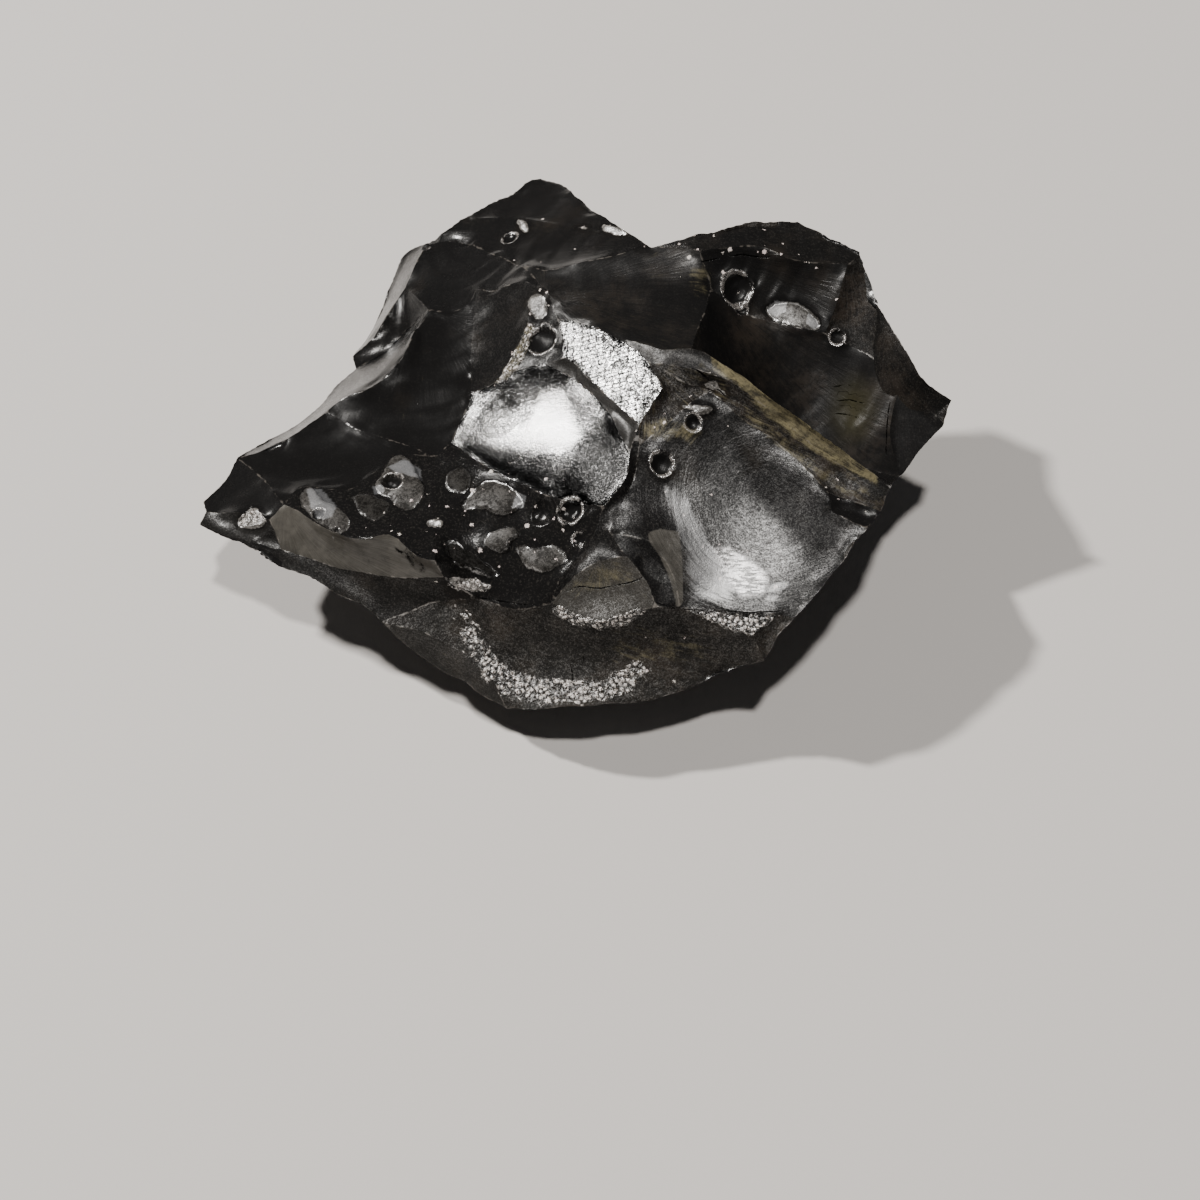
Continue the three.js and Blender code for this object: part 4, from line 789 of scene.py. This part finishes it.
# what the patch holds, how strong it is, how soft its edge is in millimetres, and its corners;
# crust, gold and haze are the stone's own, while the sparkle areas, the olive highlight, the painted
# highlights and the painted shade are painted light, and the striated patch is partly a painted highlight
PATCHES = outlines(f"""
    crust 0.62 0.8: -10.8 -19.6, -9.4 -19.8, -8.5 -21.4, -6.9 -23.3, -4.9 -24.7, -6.7 -26.3, -9.1 -24.2,
        -10.5 -21.7;
    crust 1.05 0.8: -7.2 -24, -4.9 -24.7, -1.4 -25.9, 2.2 -26.1, 5.7 -24.9, 6.5 -25.5, 5 -27.1, 1.3 -28.1,
        -3.1 -27.6, -6.7 -26.3;
    crust 0.9 0.3: 10.6 -22.6, 14.4 -22.8, 17.9 -22.9, 16.9 -23.7, 15.5 -24.6, 13.4 -23.9, 11.5 -23.3;
    crust 0.9 0.25: -2 -21.2, -1.2 -21.2, 0.3 -22.1, 2.2 -22.9, 4.1 -22.7, 5.7 -22.3, 6.2 -22.7,
        4.5 -23.1, 2 -23.2, -0.3 -22.5, -1.8 -21.6;
    crust 0.8 0.2: {SEAM};
    crust 0.9 0.2: {LENS};
    crust 0.6 0.2: {TOOTH};
    gold 1 0.3: 12 -2.4, 15.9 -4.7, 19.2 -6.7, 22.6 -8.5, 27 -10.3, 27 -11, 22.6 -9.6, 19.2 -7.8,
        15.9 -5.8, 12.2 -3.4;
    gold 0.45 0.35: 14.2 -5, 16.3 -6.3, 20.5 -8.9, 24 -11.2, 26.5 -11.5, 25.6 -12.2, 23.2 -12, 19.8 -9.4,
        15.8 -6.9;
    gold 0.45 0.8: -1.1 -20.3, 0 -19.6, 2.2 -19.1, 3.2 -19, 4.5 -19.5, 5.2 -20.5, 2.2 -20.6, 0.3 -20.5;
    gold 0.3 1: 2.2 -23.5, 5.7 -23.2, 11 -23.5, 12.8 -24.6, 9.3 -25.3, 4.9 -25, 2.6 -24.4;
    gold 0.4 0.8: 10.6 10.3, 11.9 10.8, 12.6 10, 12.2 8.4, 11.1 7.5, 10.4 8.8;
    gold 0.5 0.5: 5.7 -7.9, 7.7 -6.8, 9.6 -7.2, 11.1 -7.9, 10.2 -8.9, 7.7 -8.9, 6.2 -9;
    gold 0.5 0.3: {SEAM};
    glitter 1 1.5: -19 -12, -10 -7, -3 -9, 1 -13, 0 -18, -6 -20, -13 -18;
    glitter 0.8 1.5: 8 -12, 12 -12, 18 -18, 20 -21, 10 -22.5, 8.5 -17;
    glitter 1 1: 4 -9, 6 -6, 12 -3.5, 13 -6, 10 -9;
    glitter 0.6 1.5: -8 15, -6 22, 3 18, 6 14, 0 10;
    glitter 0.8 1: -8 0, -5 9, -1 9, -1 3;
    glitter 0.9 0.6: 13 -5.6, 20 -9.8, 27 -12.5, 26 -13.5, 19 -10.8, 12 -6.8;
    glitter 0.9 1: 8 9, 12 12, 17 9, 15 7;
    glitter 0.9 1: 6 13, 12 15.5, 18 15, 23 12, 23 10, 17 11.5, 10 11;
    glitter 0.6 1.5: 2 -22, 6 -22, 10 -24, 14 -25, 10 -27, 4 -25;
    haze 1 0.2: 6.4 -16.8, 7.6 -16.2, 9.2 -16.2, 9.4 -18.7, 9.5 -22.2, 8.9 -22.4, 8.2 -20.4, 7.4 -18.7,
        6.5 -17.8;
    glow 1 2.2: 24.9 1.3, 25.8 1.7, 26.7 0.9, 26.9 -0.6, 26.4 -1.8, 25.3 -1.7, 24.6 -0.4;
    smoke 1 0.45: -14.2 11, -15.3 8.5, -16.6 4.9, -19.1 2.4, -21.9 2, -23.6 1.3, -23.4 2.3, -21.4 3.1,
        -18.9 3.8, -17.3 6, -16.2 9;
    smoke 1 0.3: -14.6 21.3, -17.3 21.8, -18.5 19.5, -20.6 14, -21.9 10.5, -21.2 11.2, -20 14.2,
        -17.9 19.2, -16.9 21.2, -15.2 20.9;
    smoke 1 0.3: -21.5 8.6, -23.2 7, -24.5 4.6, -26.9 2.1, -29.7 -0.2, -31.8 -2.6, -29.6 0.1, -26.6 2.2,
        -24.1 4.7, -22.7 6.9, -21.1 8.5;
    smoke 1 1.2: -24 -1.5, -23.4 1.2, -21.5 1.9, -18.6 2.6, -16.4 4.6, -14.8 6, -14.4 3, -16 0,
        -19.5 -1.8;
    smoke 1 1.6: 13.7 -7.6, 20 -10.2, 24.6 -13.6, 23.6 -17.6, 20.9 -18.4, 18 -15, 15.2 -12.2;
    smoke 0.7 1: -7.6 0, -5.4 0.6, -4.6 -1.6, -5.8 -3, -7.4 -2.4;
    smoke 0.5 1: -6.2 1.4, -1.4 0, 1.6 -4.2, 0.6 -5.6, -2.4 -1.8, -5.6 -0.6;
    smoke 0.35 1.2: -9 -6.6, -5 -7.6, -2.6 -8.2, 0.4 -10.4, 2.4 -14.4, -1.4 -14, -9.6 -8.6;
    smoke 1 1.5: 0.6 -6.6, 3 -6, 5.4 -8, 4.8 -11.5, 2.6 -15.5, -1.4 -15.5, -2 -11.4, -0.6 -8.8;
    smoke 0.3 1.4: 8.5 -9.6, 13.7 -7.6, 15.2 -12.2, 11.2 -12.6, 8.4 -12;
    smoke 0.9 1.2: 4.6 -10, 8 -9, 8.4 -12, 7.6 -14, 8.4 -16, 6 -17.4, 4 -14;
    hatch 1 0.9: 12.3 -17.3, 13.6 -16.9, 15.9 -18.3, 17 -19.6, 16.6 -21.1, 14.4 -21.2, 12.9 -19.4;
    sheen 1 1: 7.6 -12.4, 9.2 -12.2, 10.4 -13.6, 11.5 -15.6, 13 -17.6, 14.6 -20.6, 13.4 -22, 10 -22.2,
        9.6 -18.6, 8.6 -15.4;
    sheen 1.2 0.3: -24.6 -9.1, -23.1 -9.2, -21.5 -11.5, -21.7 -12.9, -22.6 -13.3, -23.9 -11.6;
    sheen 1.2 0.3: -17.2 -7.2, -15.6 -6.4, -14 -7.6, -13.8 -9.2, -15.2 -8.8, -16.4 -8.2;
    sheen 1.2 0.9: -8.4 -3.4, -6.4 -4.4, -4.4 -3.6, -3.2 -1.2, -1.2 -1.6, 0 -4.4, 0.6 -7, -1.4 -8.4,
        -3.8 -7.6, -7.4 -6.4, -8.8 -5;
    sheen 1.3 0.2: 17.7 8.4, 18.6 8.9, 19.7 8.8, 19.5 7.9, 18.6 7.5, 17.9 7.9;
    sheen 1.3 0.2: 21.6 8, 22.4 7.4, 22.7 6.8, 22.2 6.5, 21.4 7;
    sheen 1.2 0.2: -18.5 -9.2, -17.4 -9.3, -17.2 -10.2, -18.2 -10.3;
    sheen 1.2 0.2: -5.3 -11.6, -4.3 -12.2, -4.6 -13.2, -5.8 -13.3;
    sheen 0.9 0.8: 16.4 -20.4, 17.7 -19.6, 18.9 -19.5, 19.1 -20.6, 17.8 -21.8, 16.6 -21.8
""")
patch = {kind: np.zeros(len(points)) for (kind, *sizes), outline in PATCHES}
for (kind, *sizes), outline in PATCHES:
    strength, soft = map(float, sizes)
    inward = edge_distance(laid[tops], outline)
    patch[kind][tops] = np.maximum(patch[kind][tops], strength * ramp(-soft, soft, inward))

# hairline cracks, as places along each
CRACKS = """
    -8.7 -19.5, -6.7 -20.1, -4.9 -20.7, -3.6 -21; 0.7 -24.2, 1 -25.4, 0.6 -26.9; -0.4 -24.7, -0.2 -26,
    -0.5 -27; -0.8 -20.4, 0.4 -20.2, 2.2 -20.5, 4.1 -20.5, 6 -20.5; 7 -22.3, 8.4 -22.5, 10.8 -22.5,
    15.2 -22.7, 18.5 -22.5; 29 -0.4, 28.7 -2.7, 28.6 -4.7; 10.2 -3.3, 11.8 -4.1, 13.1 -4.9, 14.4 -5.7;
    24.1 2, 25.2 2.1, 26.6 1.6; 24.4 0.8, 25.5 0.8, 26.8 0.3; 24.2 -0.2, 25.3 -0.4, 26.4 -0.9; -15 -16.9,
    -14.2 -17.5, -13.3 -17.8; -16 -16.4, -15.2 -16.9, -14.4 -17.4; 11.5 10.8, 13 11.3, 15.4 11.9,
    18.1 11.8
"""
CRACK_REACH = 3.5         # how far from a crack its line is measured
FAR = 9.0                 # stands for a place that no crack is near
crack_side = np.full(len(points), FAR)
crack_on = np.zeros(len(points))
for line in map(places, CRACKS.split(";")):
    near_line = tops[nearest(laid[tops], line) < CRACK_REACH]
    flat = laid[near_line] + LINE_STRAY * wander[near_line, :2]
    best = np.full(len(flat), FAR)
    within = np.full(len(flat), -FAR)
    for k, (a, b) in enumerate(zip(line, line[1:])):
        side = b - a
        length = np.linalg.norm(side)
        t = (flat - a) @ side / length**2
        away = flat - a - np.outer(t.clip(0, 1), side)
        hand = np.sign(side[0] * away[:, 1] - side[1] * away[:, 0])
        size = np.linalg.norm(away, axis=1)
        closer = size < np.abs(best)
        best[closer] = (hand * size)[closer]
        inside = np.full(len(flat), FAR)
        if k == 0:
            inside = np.minimum(inside, t * length)
        if k == len(line) - 2:
            inside = np.minimum(inside, (1 - t) * length)
        within[closer] = inside[closer]
    nearer = np.abs(best) < np.abs(crack_side[near_line])
    crack_side[near_line[nearer]] = best[nearer]
    crack_on[near_line[nearer]] = ramp(-0.1, 0.3, within[nearer])


def keep(name, domain, values):
    """Stores three values on each point, face or corner of the skin for the material to read."""
    attribute = mesh.attributes.new(name, "FLOAT_VECTOR", domain)
    attribute.data.foreach_set("vector", values.astype(np.float32).ravel())


keep("flow", "CORNER", flow)
keep("look", "FACE", looks[face_scar][:, :3])
keep("tint", "FACE", looks[face_scar][:, 3:6])
# besides the stone's own marks, these carry painted light: sparkle areas, an olive highlight, painted shade
# and painted highlights
for name, values in {
    "marks": (patch["crust"], patch["gold"], patch["hatch"]),
    "pits": (rim_mask, well_mask, plate_mask.clip(-1, 1)),
    "stains": (patch["glitter"], patch["haze"], patch["glow"]),
    "veil": (plate_shine, patch["smoke"], patch["sheen"]),
    "edges": (gap.clip(0, 2), crack_side.clip(-2, 2), crack_on),
}.items():
    keep(name, "POINT", np.stack(values, axis=1))

# ---- Shungite ----
# Black glassy carbon, almost a mirror on fresh scars, with white mineral crust, a thin golden iron
# film and duller grainy parts. Painted highlights, painted sparkles, an olive highlight and painted
# shade are laid into its colour and shine too. It is all one material, which reads the areas noted
# on the mesh.

stone = bpy.data.materials.new("shungite")
stone.use_nodes = True
tree = stone.node_tree
tree.nodes.clear()


class Value:
    """A number that the material's nodes work out; sums written with it become nodes."""

    def __init__(self, socket):
        self.socket = socket

    def __add__(self, other):
        return maths("ADD", self, other)

    def __sub__(self, other):
        return maths("SUBTRACT", self, other)

    def __rsub__(self, other):
        return maths("SUBTRACT", other, self)

    def __mul__(self, other):
        return maths("MULTIPLY", self, other)


def node(kind, settings=(), **inputs):
    """Adds a node; inputs are numbers or other nodes' outputs, by socket name or as i and its number."""
    made = tree.nodes.new(kind)
    for key, setting in dict(settings).items():
        setattr(made, key, setting)
    for key, given in inputs.items():
        socket = made.inputs[int(key[1:]) if key[1:].isdigit() and key[0] == "i" else key.replace("_", " ")]
        given = given.socket if isinstance(given, Value) else given
        if isinstance(given, bpy.types.NodeSocket):
            tree.links.new(given, socket)
        else:
            socket.default_value = given
    return made


def maths(operation, a, b=0.0):
    """One sum worked out by the material."""
    return Value(node("ShaderNodeMath", {"operation": operation}, i0=a, i1=b).outputs[0])


def most(first, *others):
    """The largest of several values."""
    for other in others:
        first = maths("MAXIMUM", first, other)
    return first


def blend(share, under, over):
    """One colour laid over another by a share."""
    return node("ShaderNodeMix", {"data_type": "RGBA"}, i0=share, i6=under, i7=over).outputs[2]


def mix(share, a, b):
    """A number between a and b by a share."""
    return Value(node("ShaderNodeMix", {"data_type": "FLOAT"}, i0=share, i2=a, i3=b).outputs[0])


def soft_step(value, low, high, to_low=0.0, to_high=1.0):
    """Goes smoothly from one number to another while a value goes from low to high."""
    return Value(node("ShaderNodeMapRange", {"interpolation_type": "SMOOTHSTEP"}, i0=value, i1=low, i2=high,
                      i3=to_low, i4=to_high).outputs[0])


def stored(name):
    """The three values stored on the skin under a name, as one vector."""
    return node("ShaderNodeAttribute", {"attribute_name": name}).outputs["Vector"]


def stored_parts(name):
    """The same three values one by one."""
    return map(Value, node("ShaderNodeSeparateXYZ", i0=stored(name)).outputs)


def stretch(vector, scale):
    """A place vector scaled by its own amount along each axis."""
    return node("ShaderNodeVectorMath", {"operation": "MULTIPLY"}, i0=vector, i1=scale).outputs[0]


def clouds(vector, scale, detail=3.0, rough=0.55, warp=0.0):
    """Smooth random clouds; the scale is in clouds per millimetre."""
    return Value(node("ShaderNodeTexNoise", Vector=vector, Scale=scale, Detail=detail,
                      Roughness=rough, Distortion=warp).outputs["Fac"])


def cells(vector, scale, rank="F1", measure="EUCLIDEAN", **more):
    """Random cells round scattered points: their distances, colours and places."""
    return node("ShaderNodeTexVoronoi", {"feature": rank, "distance": measure}, Vector=vector, Scale=scale,
                **more).outputs


def push(mark, *swings):
    """A mark whose edge is made ragged by clouds, each followed by how far it moves the edge."""
    for cloud, amount in zip(swings[::2], swings[1::2]):
        mark = mark + (cloud - 0.5) * amount
    return mark


def nudge(share, vector, random_vector):
    """Places moved a little towards random ones, so that what is laid on them isn't straight."""
    return node("ShaderNodeMix", {"data_type": "VECTOR"}, i0=share, i4=vector, i5=random_vector).outputs[1]


place = stretch(node("ShaderNodeTexCoord").outputs["Object"], (1 / MM,) * 3)
flow_place = stored("flow")
scar_rough, scar_shine, grain = stored_parts("look")
scar_gold, scar_brown, scar_haze_and_reflection = stored_parts("tint")
crust_mark, gold_mark, striated_highlight_mark = stored_parts("marks")
rim_mark, well_mark, plate_in = stored_parts("pits")
ridge_gap, crack_away, crack_here = stored_parts("edges")
plate_gleam, painted_shade_mark, painted_highlight_mark = stored_parts("veil")
glitter, haze_mark, glow = stored_parts("stains")

patchy = clouds(place, 0.22, 4.0, 0.6)
smudge = clouds(place, 0.9, 5.0, 0.65, 0.4)
clump = clouds(place, 1.7, 3.0, 0.6)
speck = clouds(place, 4.0, 3.0, 0.65)
dust = clouds(place, 8.0, 2.0, 0.6)
# fibres and scratches run outward from the blow
fibres = clouds(stretch(flow_place, (0.35, 2.6, 1.0)), 1.0, 4.0, 0.6, 0.8)
scratch = clouds(stretch(flow_place, (0.5, 9.0, 1.0)), 1.0, 2.0, 0.5, 0.1)
strokes = soft_step(push(clouds(stretch(place, (1.2, 4.5, 4.5)), 1.0, 2.0, 0.5), dust, 0.2), 0.42, 0.56)
# the woven facet's small square blocks
woven_place = nudge(0.05, stretch(place, (1.5, 2.7, 0.6)), clouds(place, 1.1, 2.0, 0.5).socket)
near_block, next_block = (Value(cells(woven_place, 1.0, rank, "CHEBYCHEV", Randomness=0.55)["Distance"])
                          for rank in ("F1", "F2"))
weave = soft_step(push(next_block - near_block, dust, 0.25), 0.03, 0.26)
beads, fine_beads = (Value(cells(place, scale)["Distance"]) for scale in (2.4, 7.0))

# where each finish lies, from 0 to 1
crust = soft_step(push(crust_mark, smudge, 1.5, clump, 0.9), 0.42, 0.62)
gold = soft_step(push(most(scar_gold, gold_mark), fibres, 1.0, smudge, 0.7), 0.2, 0.95)
brown = soft_step(push(scar_brown, patchy, 0.9), 0.1, 1.0)
haze_and_reflection = most(scar_haze_and_reflection, soft_step(push(haze_mark, fibres, 0.9), 0.35, 0.7, 0.0, 0.85))
plate = soft_step(push(plate_in, speck, 0.10), -0.02, 0.03)
plate_edge = (plate * soft_step(push(plate_in, clump, 0.4), 0.08, 0.24, 1.0, 0.0)
              * soft_step(push(smudge, patchy, 0.7), 0.42, 0.56))
# painted shade: a ring just outside each plate whose shine is taken almost away, so the plate shows a dark
# outline
skirt = soft_step(plate_in, -0.6, -0.3) * soft_step(plate_in, -0.02, 0.03, 1.0, 0.0)
rim = soft_step(push(rim_mark * soft_step(smudge, 0.38, 0.58), speck, 0.8), 0.25, 0.6)
crack = (soft_step(push(maths("ABSOLUTE", crack_away), speck, 0.10), 0.01, 0.07, 1.0, 0.0)
         * crack_here * soft_step(smudge, 0.40, 0.52))
wear = soft_step(push(ridge_gap, clump, 0.35), 0.0, 0.10, 1.0, 0.0) * soft_step(smudge, 0.48, 0.60)
# a striated patch on the large scar: fine strokes of its own, brightened by a painted pinkish highlight
hatch = soft_step(push(striated_highlight_mark, smudge, 0.7), 0.3, 0.8)
# painted highlights of the lamps on the large scar, several plates and the mirror's core
sheen = soft_step(push(painted_highlight_mark, fibres, 1.4, speck, 0.5), 0.5, 1.1)
streaky = soft_step(push(clump, fibres, 0.9, patchy, 1.2), 0.3, 0.75)
woven = soft_step(grain, 0.95, 1.0) * maths("GREATER_THAN", scar_shine, 0.9)

# painted sparkles: one cell in many holds a small bright dot, painted in as a tiny highlight
ragged = node("ShaderNodeTexNoise", Vector=place, Scale=3.5, Detail=1.0).outputs["Color"]
dots = cells(nudge(0.12, place, ragged), 1.4)
dot_parts = node("ShaderNodeSeparateColor", i0=dots["Color"]).outputs
dot_pick, dot_girth, dot_hue = map(Value, dot_parts)
dot_size = dot_girth * dot_girth * 0.20 + 0.06
dot_limit = 1.04 - glitter * soft_step(ridge_gap, 0.2, 0.7, 0.62, 0.42)
painted_glint = (maths("LESS_THAN", push(Value(dots["Distance"]), dust, 0.5), dot_size)
         * maths("GREATER_THAN", push(dot_pick, patchy, 0.4), dot_limit))

BLACK = (0.0085, 0.0082, 0.0082, 1)
CRACK_BLACK = (0.0015, 0.0015, 0.0015, 1)
BROWNS = (0.012, 0.010, 0.008, 1), (0.060, 0.046, 0.034, 1)
# grey haze, which on the taupe facet is a painted reflection of the paper
HAZE_AND_REFLECTION_GREYS = (0.056, 0.052, 0.045, 1), (0.104, 0.097, 0.085, 1)
# colour of the painted olive highlight in the scoop
OLIVE_HIGHLIGHT = (0.046, 0.042, 0.022, 1)
GRIT = (0.085, 0.077, 0.068, 1)
GOLDS = (0.045, 0.039, 0.023, 1), (0.26, 0.225, 0.125, 1)
CRUSTS = (0.06, 0.048, 0.038, 1), (0.95, 0.89, 0.84, 1)
# pale grey painted on the pits' rims as their highlight
RIM_HIGHLIGHT = (0.50, 0.46, 0.43, 1)
WORN = (0.24, 0.21, 0.18, 1)
# colours of the painted sparkles
PAINTED_GLINTS = (0.75, 0.70, 0.64, 1), (0.93, 0.79, 0.77, 1)
# colours of the painted highlights
PAINTED_HIGHLIGHTS = (0.09, 0.095, 0.105, 1), (0.48, 0.485, 0.50, 1)
# colours of the striated patch and its painted highlight
STRIATED_HIGHLIGHTS = (0.20, 0.18, 0.19, 1), (0.75, 0.68, 0.68, 1)
PLATE_TINT = (0.19, 0.1786, 0.1653)
MIRROR_SHARE = 0.184      # colour of the mirroring scars for each unit of shine

# the plates' grey is a painted highlight, brighter on the plates that gleam more
plate_painted_gleam = plate_gleam * soft_step(push(smudge, speck, 0.7, dust, 0.6), 0.3, 0.75, 0.4, 1.5)
plate_parts = {f"i{k}": plate_painted_gleam * tint for k, tint in enumerate(PLATE_TINT)}
colour = BLACK
for share, tone in (
    (brown * 0.8, blend(streaky, *BROWNS)),
    # grey haze: a dull film, and on the taupe facet a painted reflection of the paper
    (haze_and_reflection, blend(soft_step(push(smudge, scratch, 1.0), 0.2, 0.8), *HAZE_AND_REFLECTION_GREYS)),
    # painted olive highlight: the lamp's light on the scoop's film, laid into the colour
    (glow * soft_step(push(smudge, speck, 0.5), 0.2, 0.7, 0.7, 1.0), OLIVE_HIGHLIGHT),
    (soft_step(push(speck, dust, 0.5), 0.52, 0.75) * (grain * 0.4), GRIT),
    (gold * soft_step(speck, 0.3, 0.55, 0.4, 0.9),
     blend(soft_step(push(smudge, fibres, 0.8), 0.25, 0.6), *GOLDS)),
    # plates: a grey painted in as their highlight
    (plate, node("ShaderNodeCombineColor", **plate_parts).outputs[0]),
    # painted shade: the insides of the rimmed pits are set back to plain black
    (well_mark, BLACK),
    (crust * soft_step(beads, 0.3, 0.55, 1.0, 0.02),
     blend(soft_step(push(speck, dust, 0.8), 0.36, 0.54), *CRUSTS)),
    # the pits' rims: a pale grey painted in as their highlight
    (rim * soft_step(dust, 0.42, 0.62, 0.1, 0.55), RIM_HIGHLIGHT),
    (wear * 0.35, WORN),
    # painted sparkles: small pale dots that stand in for tiny highlights
    (painted_glint * 0.9, blend(dot_hue, *PAINTED_GLINTS)),
    # painted highlights laid into the colour
    (sheen * mix(plate, 0.25, 0.45), blend(dust, *PAINTED_HIGHLIGHTS)),
    # the striated patch: its strokes, with a painted pinkish highlight
    (hatch * (strokes * 0.5), blend(dust, *STRIATED_HIGHLIGHTS)),
    (crack, CRACK_BLACK),
):
    colour = blend(share, colour, tone)

rough = push(scar_rough, smudge, 0.14)
for share, target in ((plate, 0.34), (plate_edge, 0.22), (rim, 0.20), (gold * 0.7, 0.46), (crust, 0.30),
                      (hatch, 0.24)):
    rough = mix(share, rough, target)
rough = most(rough, 0.08)

# shine: even over a smooth scar, broken up by each kind of cloud on a grainy one
shine = scar_shine * soft_step(patchy, 0.3, 0.7, 0.7, 1.2) * soft_step(fibres, 0.3, 0.7, 0.75, 1.2)
for cloud, low, high, dull, bright in (
    (speck, 0.35, 0.65, 0.35, 1.5), (scratch, 0.35, 0.65, 0.7, 1.3),
    (push(clump, dust, 0.9), 0.3, 0.65, 0.5, 1.3), (dust, 0.35, 0.62, 0.35, 1.6),
):
    shine = shine * mix(grain, 1.0, soft_step(cloud, low, high, dull, bright))
# painted shade: the shine is dimmed over these patches so the scars look darker there, which also darkens
# the mirroring scars' colour
shine = shine * soft_step(push(painted_shade_mark, smudge, 0.5, fibres, 0.6), 0.0, 1.0, 1.0, 0.12)
for share, target in (
    (plate, plate_gleam * plate_gleam * soft_step(push(smudge, speck, 0.6), 0.35, 0.65, 0.3, 1.7)),
    # painted shade: just outside the plates and inside the pits the shine is taken almost away
    (plate_edge, soft_step(speck, 0.35, 0.55, 0.3, 1.2)), (skirt, 0.02), (well_mark * 0.8, 0.06),
    (rim, 1.1), (gold * 0.8, 0.20), (crust, soft_step(push(speck, dust, 0.8), 0.40, 0.60, 0.03, 1.3)),
    # painted highlights and the striated patch: shine raised where the lamps show bright
    (most(hatch, sheen), soft_step(scar_shine, 0.3, 0.5, 0.6, 1.7)), (wear, 0.5),
):
    shine = mix(share, shine, target)
shine = shine * mix(woven, 1.0, soft_step(push(weave, dust, 0.4), 0.0, 0.6, 0.08, 1.4))
shine = shine * mix(hatch, 1.0, mix(strokes, 0.4, 1.3))
shine = mix(crack, shine, 0.0)

# the brightest scars mirror as a metal does, with almost no colour of their own
covered = most(crust, rim, plate, wear, gold, painted_glint, well_mark)
mirror_like = soft_step(scar_shine, 0.35, 0.5) * most(1.0 - covered, 0.0)
mirror_grey = shine * MIRROR_SHARE
mirror_tone = node("ShaderNodeCombineColor", i0=mirror_grey, i1=mirror_grey, i2=mirror_grey).outputs[0]
colour = blend(mirror_like, colour, mirror_tone)

# how high each kind of cloud stands where it shows, in millimetres
coarse = soft_step(grain, 0.7, 0.9) * (1.0 - mirror_like)
height = (fibres - 0.5) * 0.010 - crack * 0.05
for cloud, where, stands in (
    (fibres + streaky, brown, 0.03), (scratch, grain, 0.008), (clump + smudge, coarse, 0.09),
    (smudge, grain, 0.02), (speck, grain, 0.020), (dust, grain, 0.014), (weave, woven, 0.008),
    (speck, plate, 0.010), (0.5 - beads, crust, 0.24), (0.5 - fine_beads, crust, 0.06),
    (speck, rim, 0.06),
):
    height = height + cloud * (where * stands)
normal = node("ShaderNodeBump", Height=height, Distance=MM, Strength=1.0).outputs[0]

SPECULAR_SHARE = 0.5      # specular level for each unit of shine
# the level that an export without nodes falls back to
PLAIN_SPECULAR = 0.1      # the level held on the socket itself, beneath the linked one
surface = node("ShaderNodeBsdfPrincipled", Base_Color=colour, Metallic=mirror_like, Roughness=rough,
               IOR=2.5, Normal=normal)
surface.inputs["Specular IOR Level"].default_value = PLAIN_SPECULAR
tree.links.new((shine * SPECULAR_SHARE).socket, surface.inputs["Specular IOR Level"])
node("ShaderNodeOutputMaterial", Surface=surface.outputs[0])
mesh.materials.append(stone)

# ---- The table, the light and the camera ----
# A sheet of white paper that the stone lies on, two small round lamps overhead, and the room's
# faint light. The camera looks down at the stone from the front.

TABLE_HALF = 3.0
paper_mesh = bpy.data.meshes.new("paper")
paper_corners = [(TABLE_HALF * x, TABLE_HALF * y, 0) for x, y in ((-1, -1), (1, -1), (1, 1), (-1, 1))]
paper_mesh.from_pydata(paper_corners, [], [(0, 1, 2, 3)])
paper = put_in_scene("paper", paper_mesh)
sheet = bpy.data.materials.new("white_paper")
sheet.use_nodes = True
sheet_inputs = sheet.node_tree.nodes["Principled BSDF"].inputs
sheet_inputs["Base Color"].default_value = (0.74, 0.71, 0.685, 1)
sheet_inputs["Roughness"].default_value = 0.9
paper_mesh.materials.append(sheet)

AIM = Vector((2.2, -11.75, 0)) * MM
PITCH = math.radians(55)
CAMERA_GAP = 0.210
LENS_LENGTH = 66
SENSOR_WIDTH = 36


def look_along(obj, direction):
    """Turns a camera or a lamp to face a direction."""
    obj.rotation_euler = Vector(direction).to_track_quat("-Z", "Y").to_euler()


camera_data = bpy.data.cameras.new("camera")
camera = put_in_scene("camera", camera_data)
camera.location = AIM + CAMERA_GAP * Vector((0, -math.cos(PITCH), math.sin(PITCH)))
camera_data.lens = LENS_LENGTH
camera_data.sensor_width = SENSOR_WIDTH
camera_data.clip_start = 0.01
look_along(camera, AIM - camera.location)
bpy.context.scene.camera = camera

LAMP_GAP = 0.9            # metres from the stone to each lamp
STONE_MIDDLE = Vector((0, 0, 0.012))
LAMP_WHITE = (1.0, 0.97, 0.93)


def lamp(name, direction, size, power):
    """A soft round lamp that points at the stone from the given direction."""
    data = bpy.data.lights.new(name, "AREA")
    data.shape = "DISK"
    data.size = size
    data.energy = power
    data.color = LAMP_WHITE
    made = put_in_scene(name, data)
    toward = Vector(direction).normalized()
    made.location = toward * LAMP_GAP + STONE_MIDDLE
    look_along(made, -toward)


lamp("key_lamp", (-0.90, 0.345, 1), 0.05, 9)
lamp("top_lamp", (0.03, -0.185, 1), 0.06, 5)

world = bpy.context.scene.world or bpy.data.worlds.new("room")
bpy.context.scene.world = world
world.use_nodes = True
room_light = world.node_tree.nodes["Background"].inputs
room_light["Color"].default_value = (0.03, 0.03, 0.031, 1)
room_light["Strength"].default_value = 1.0
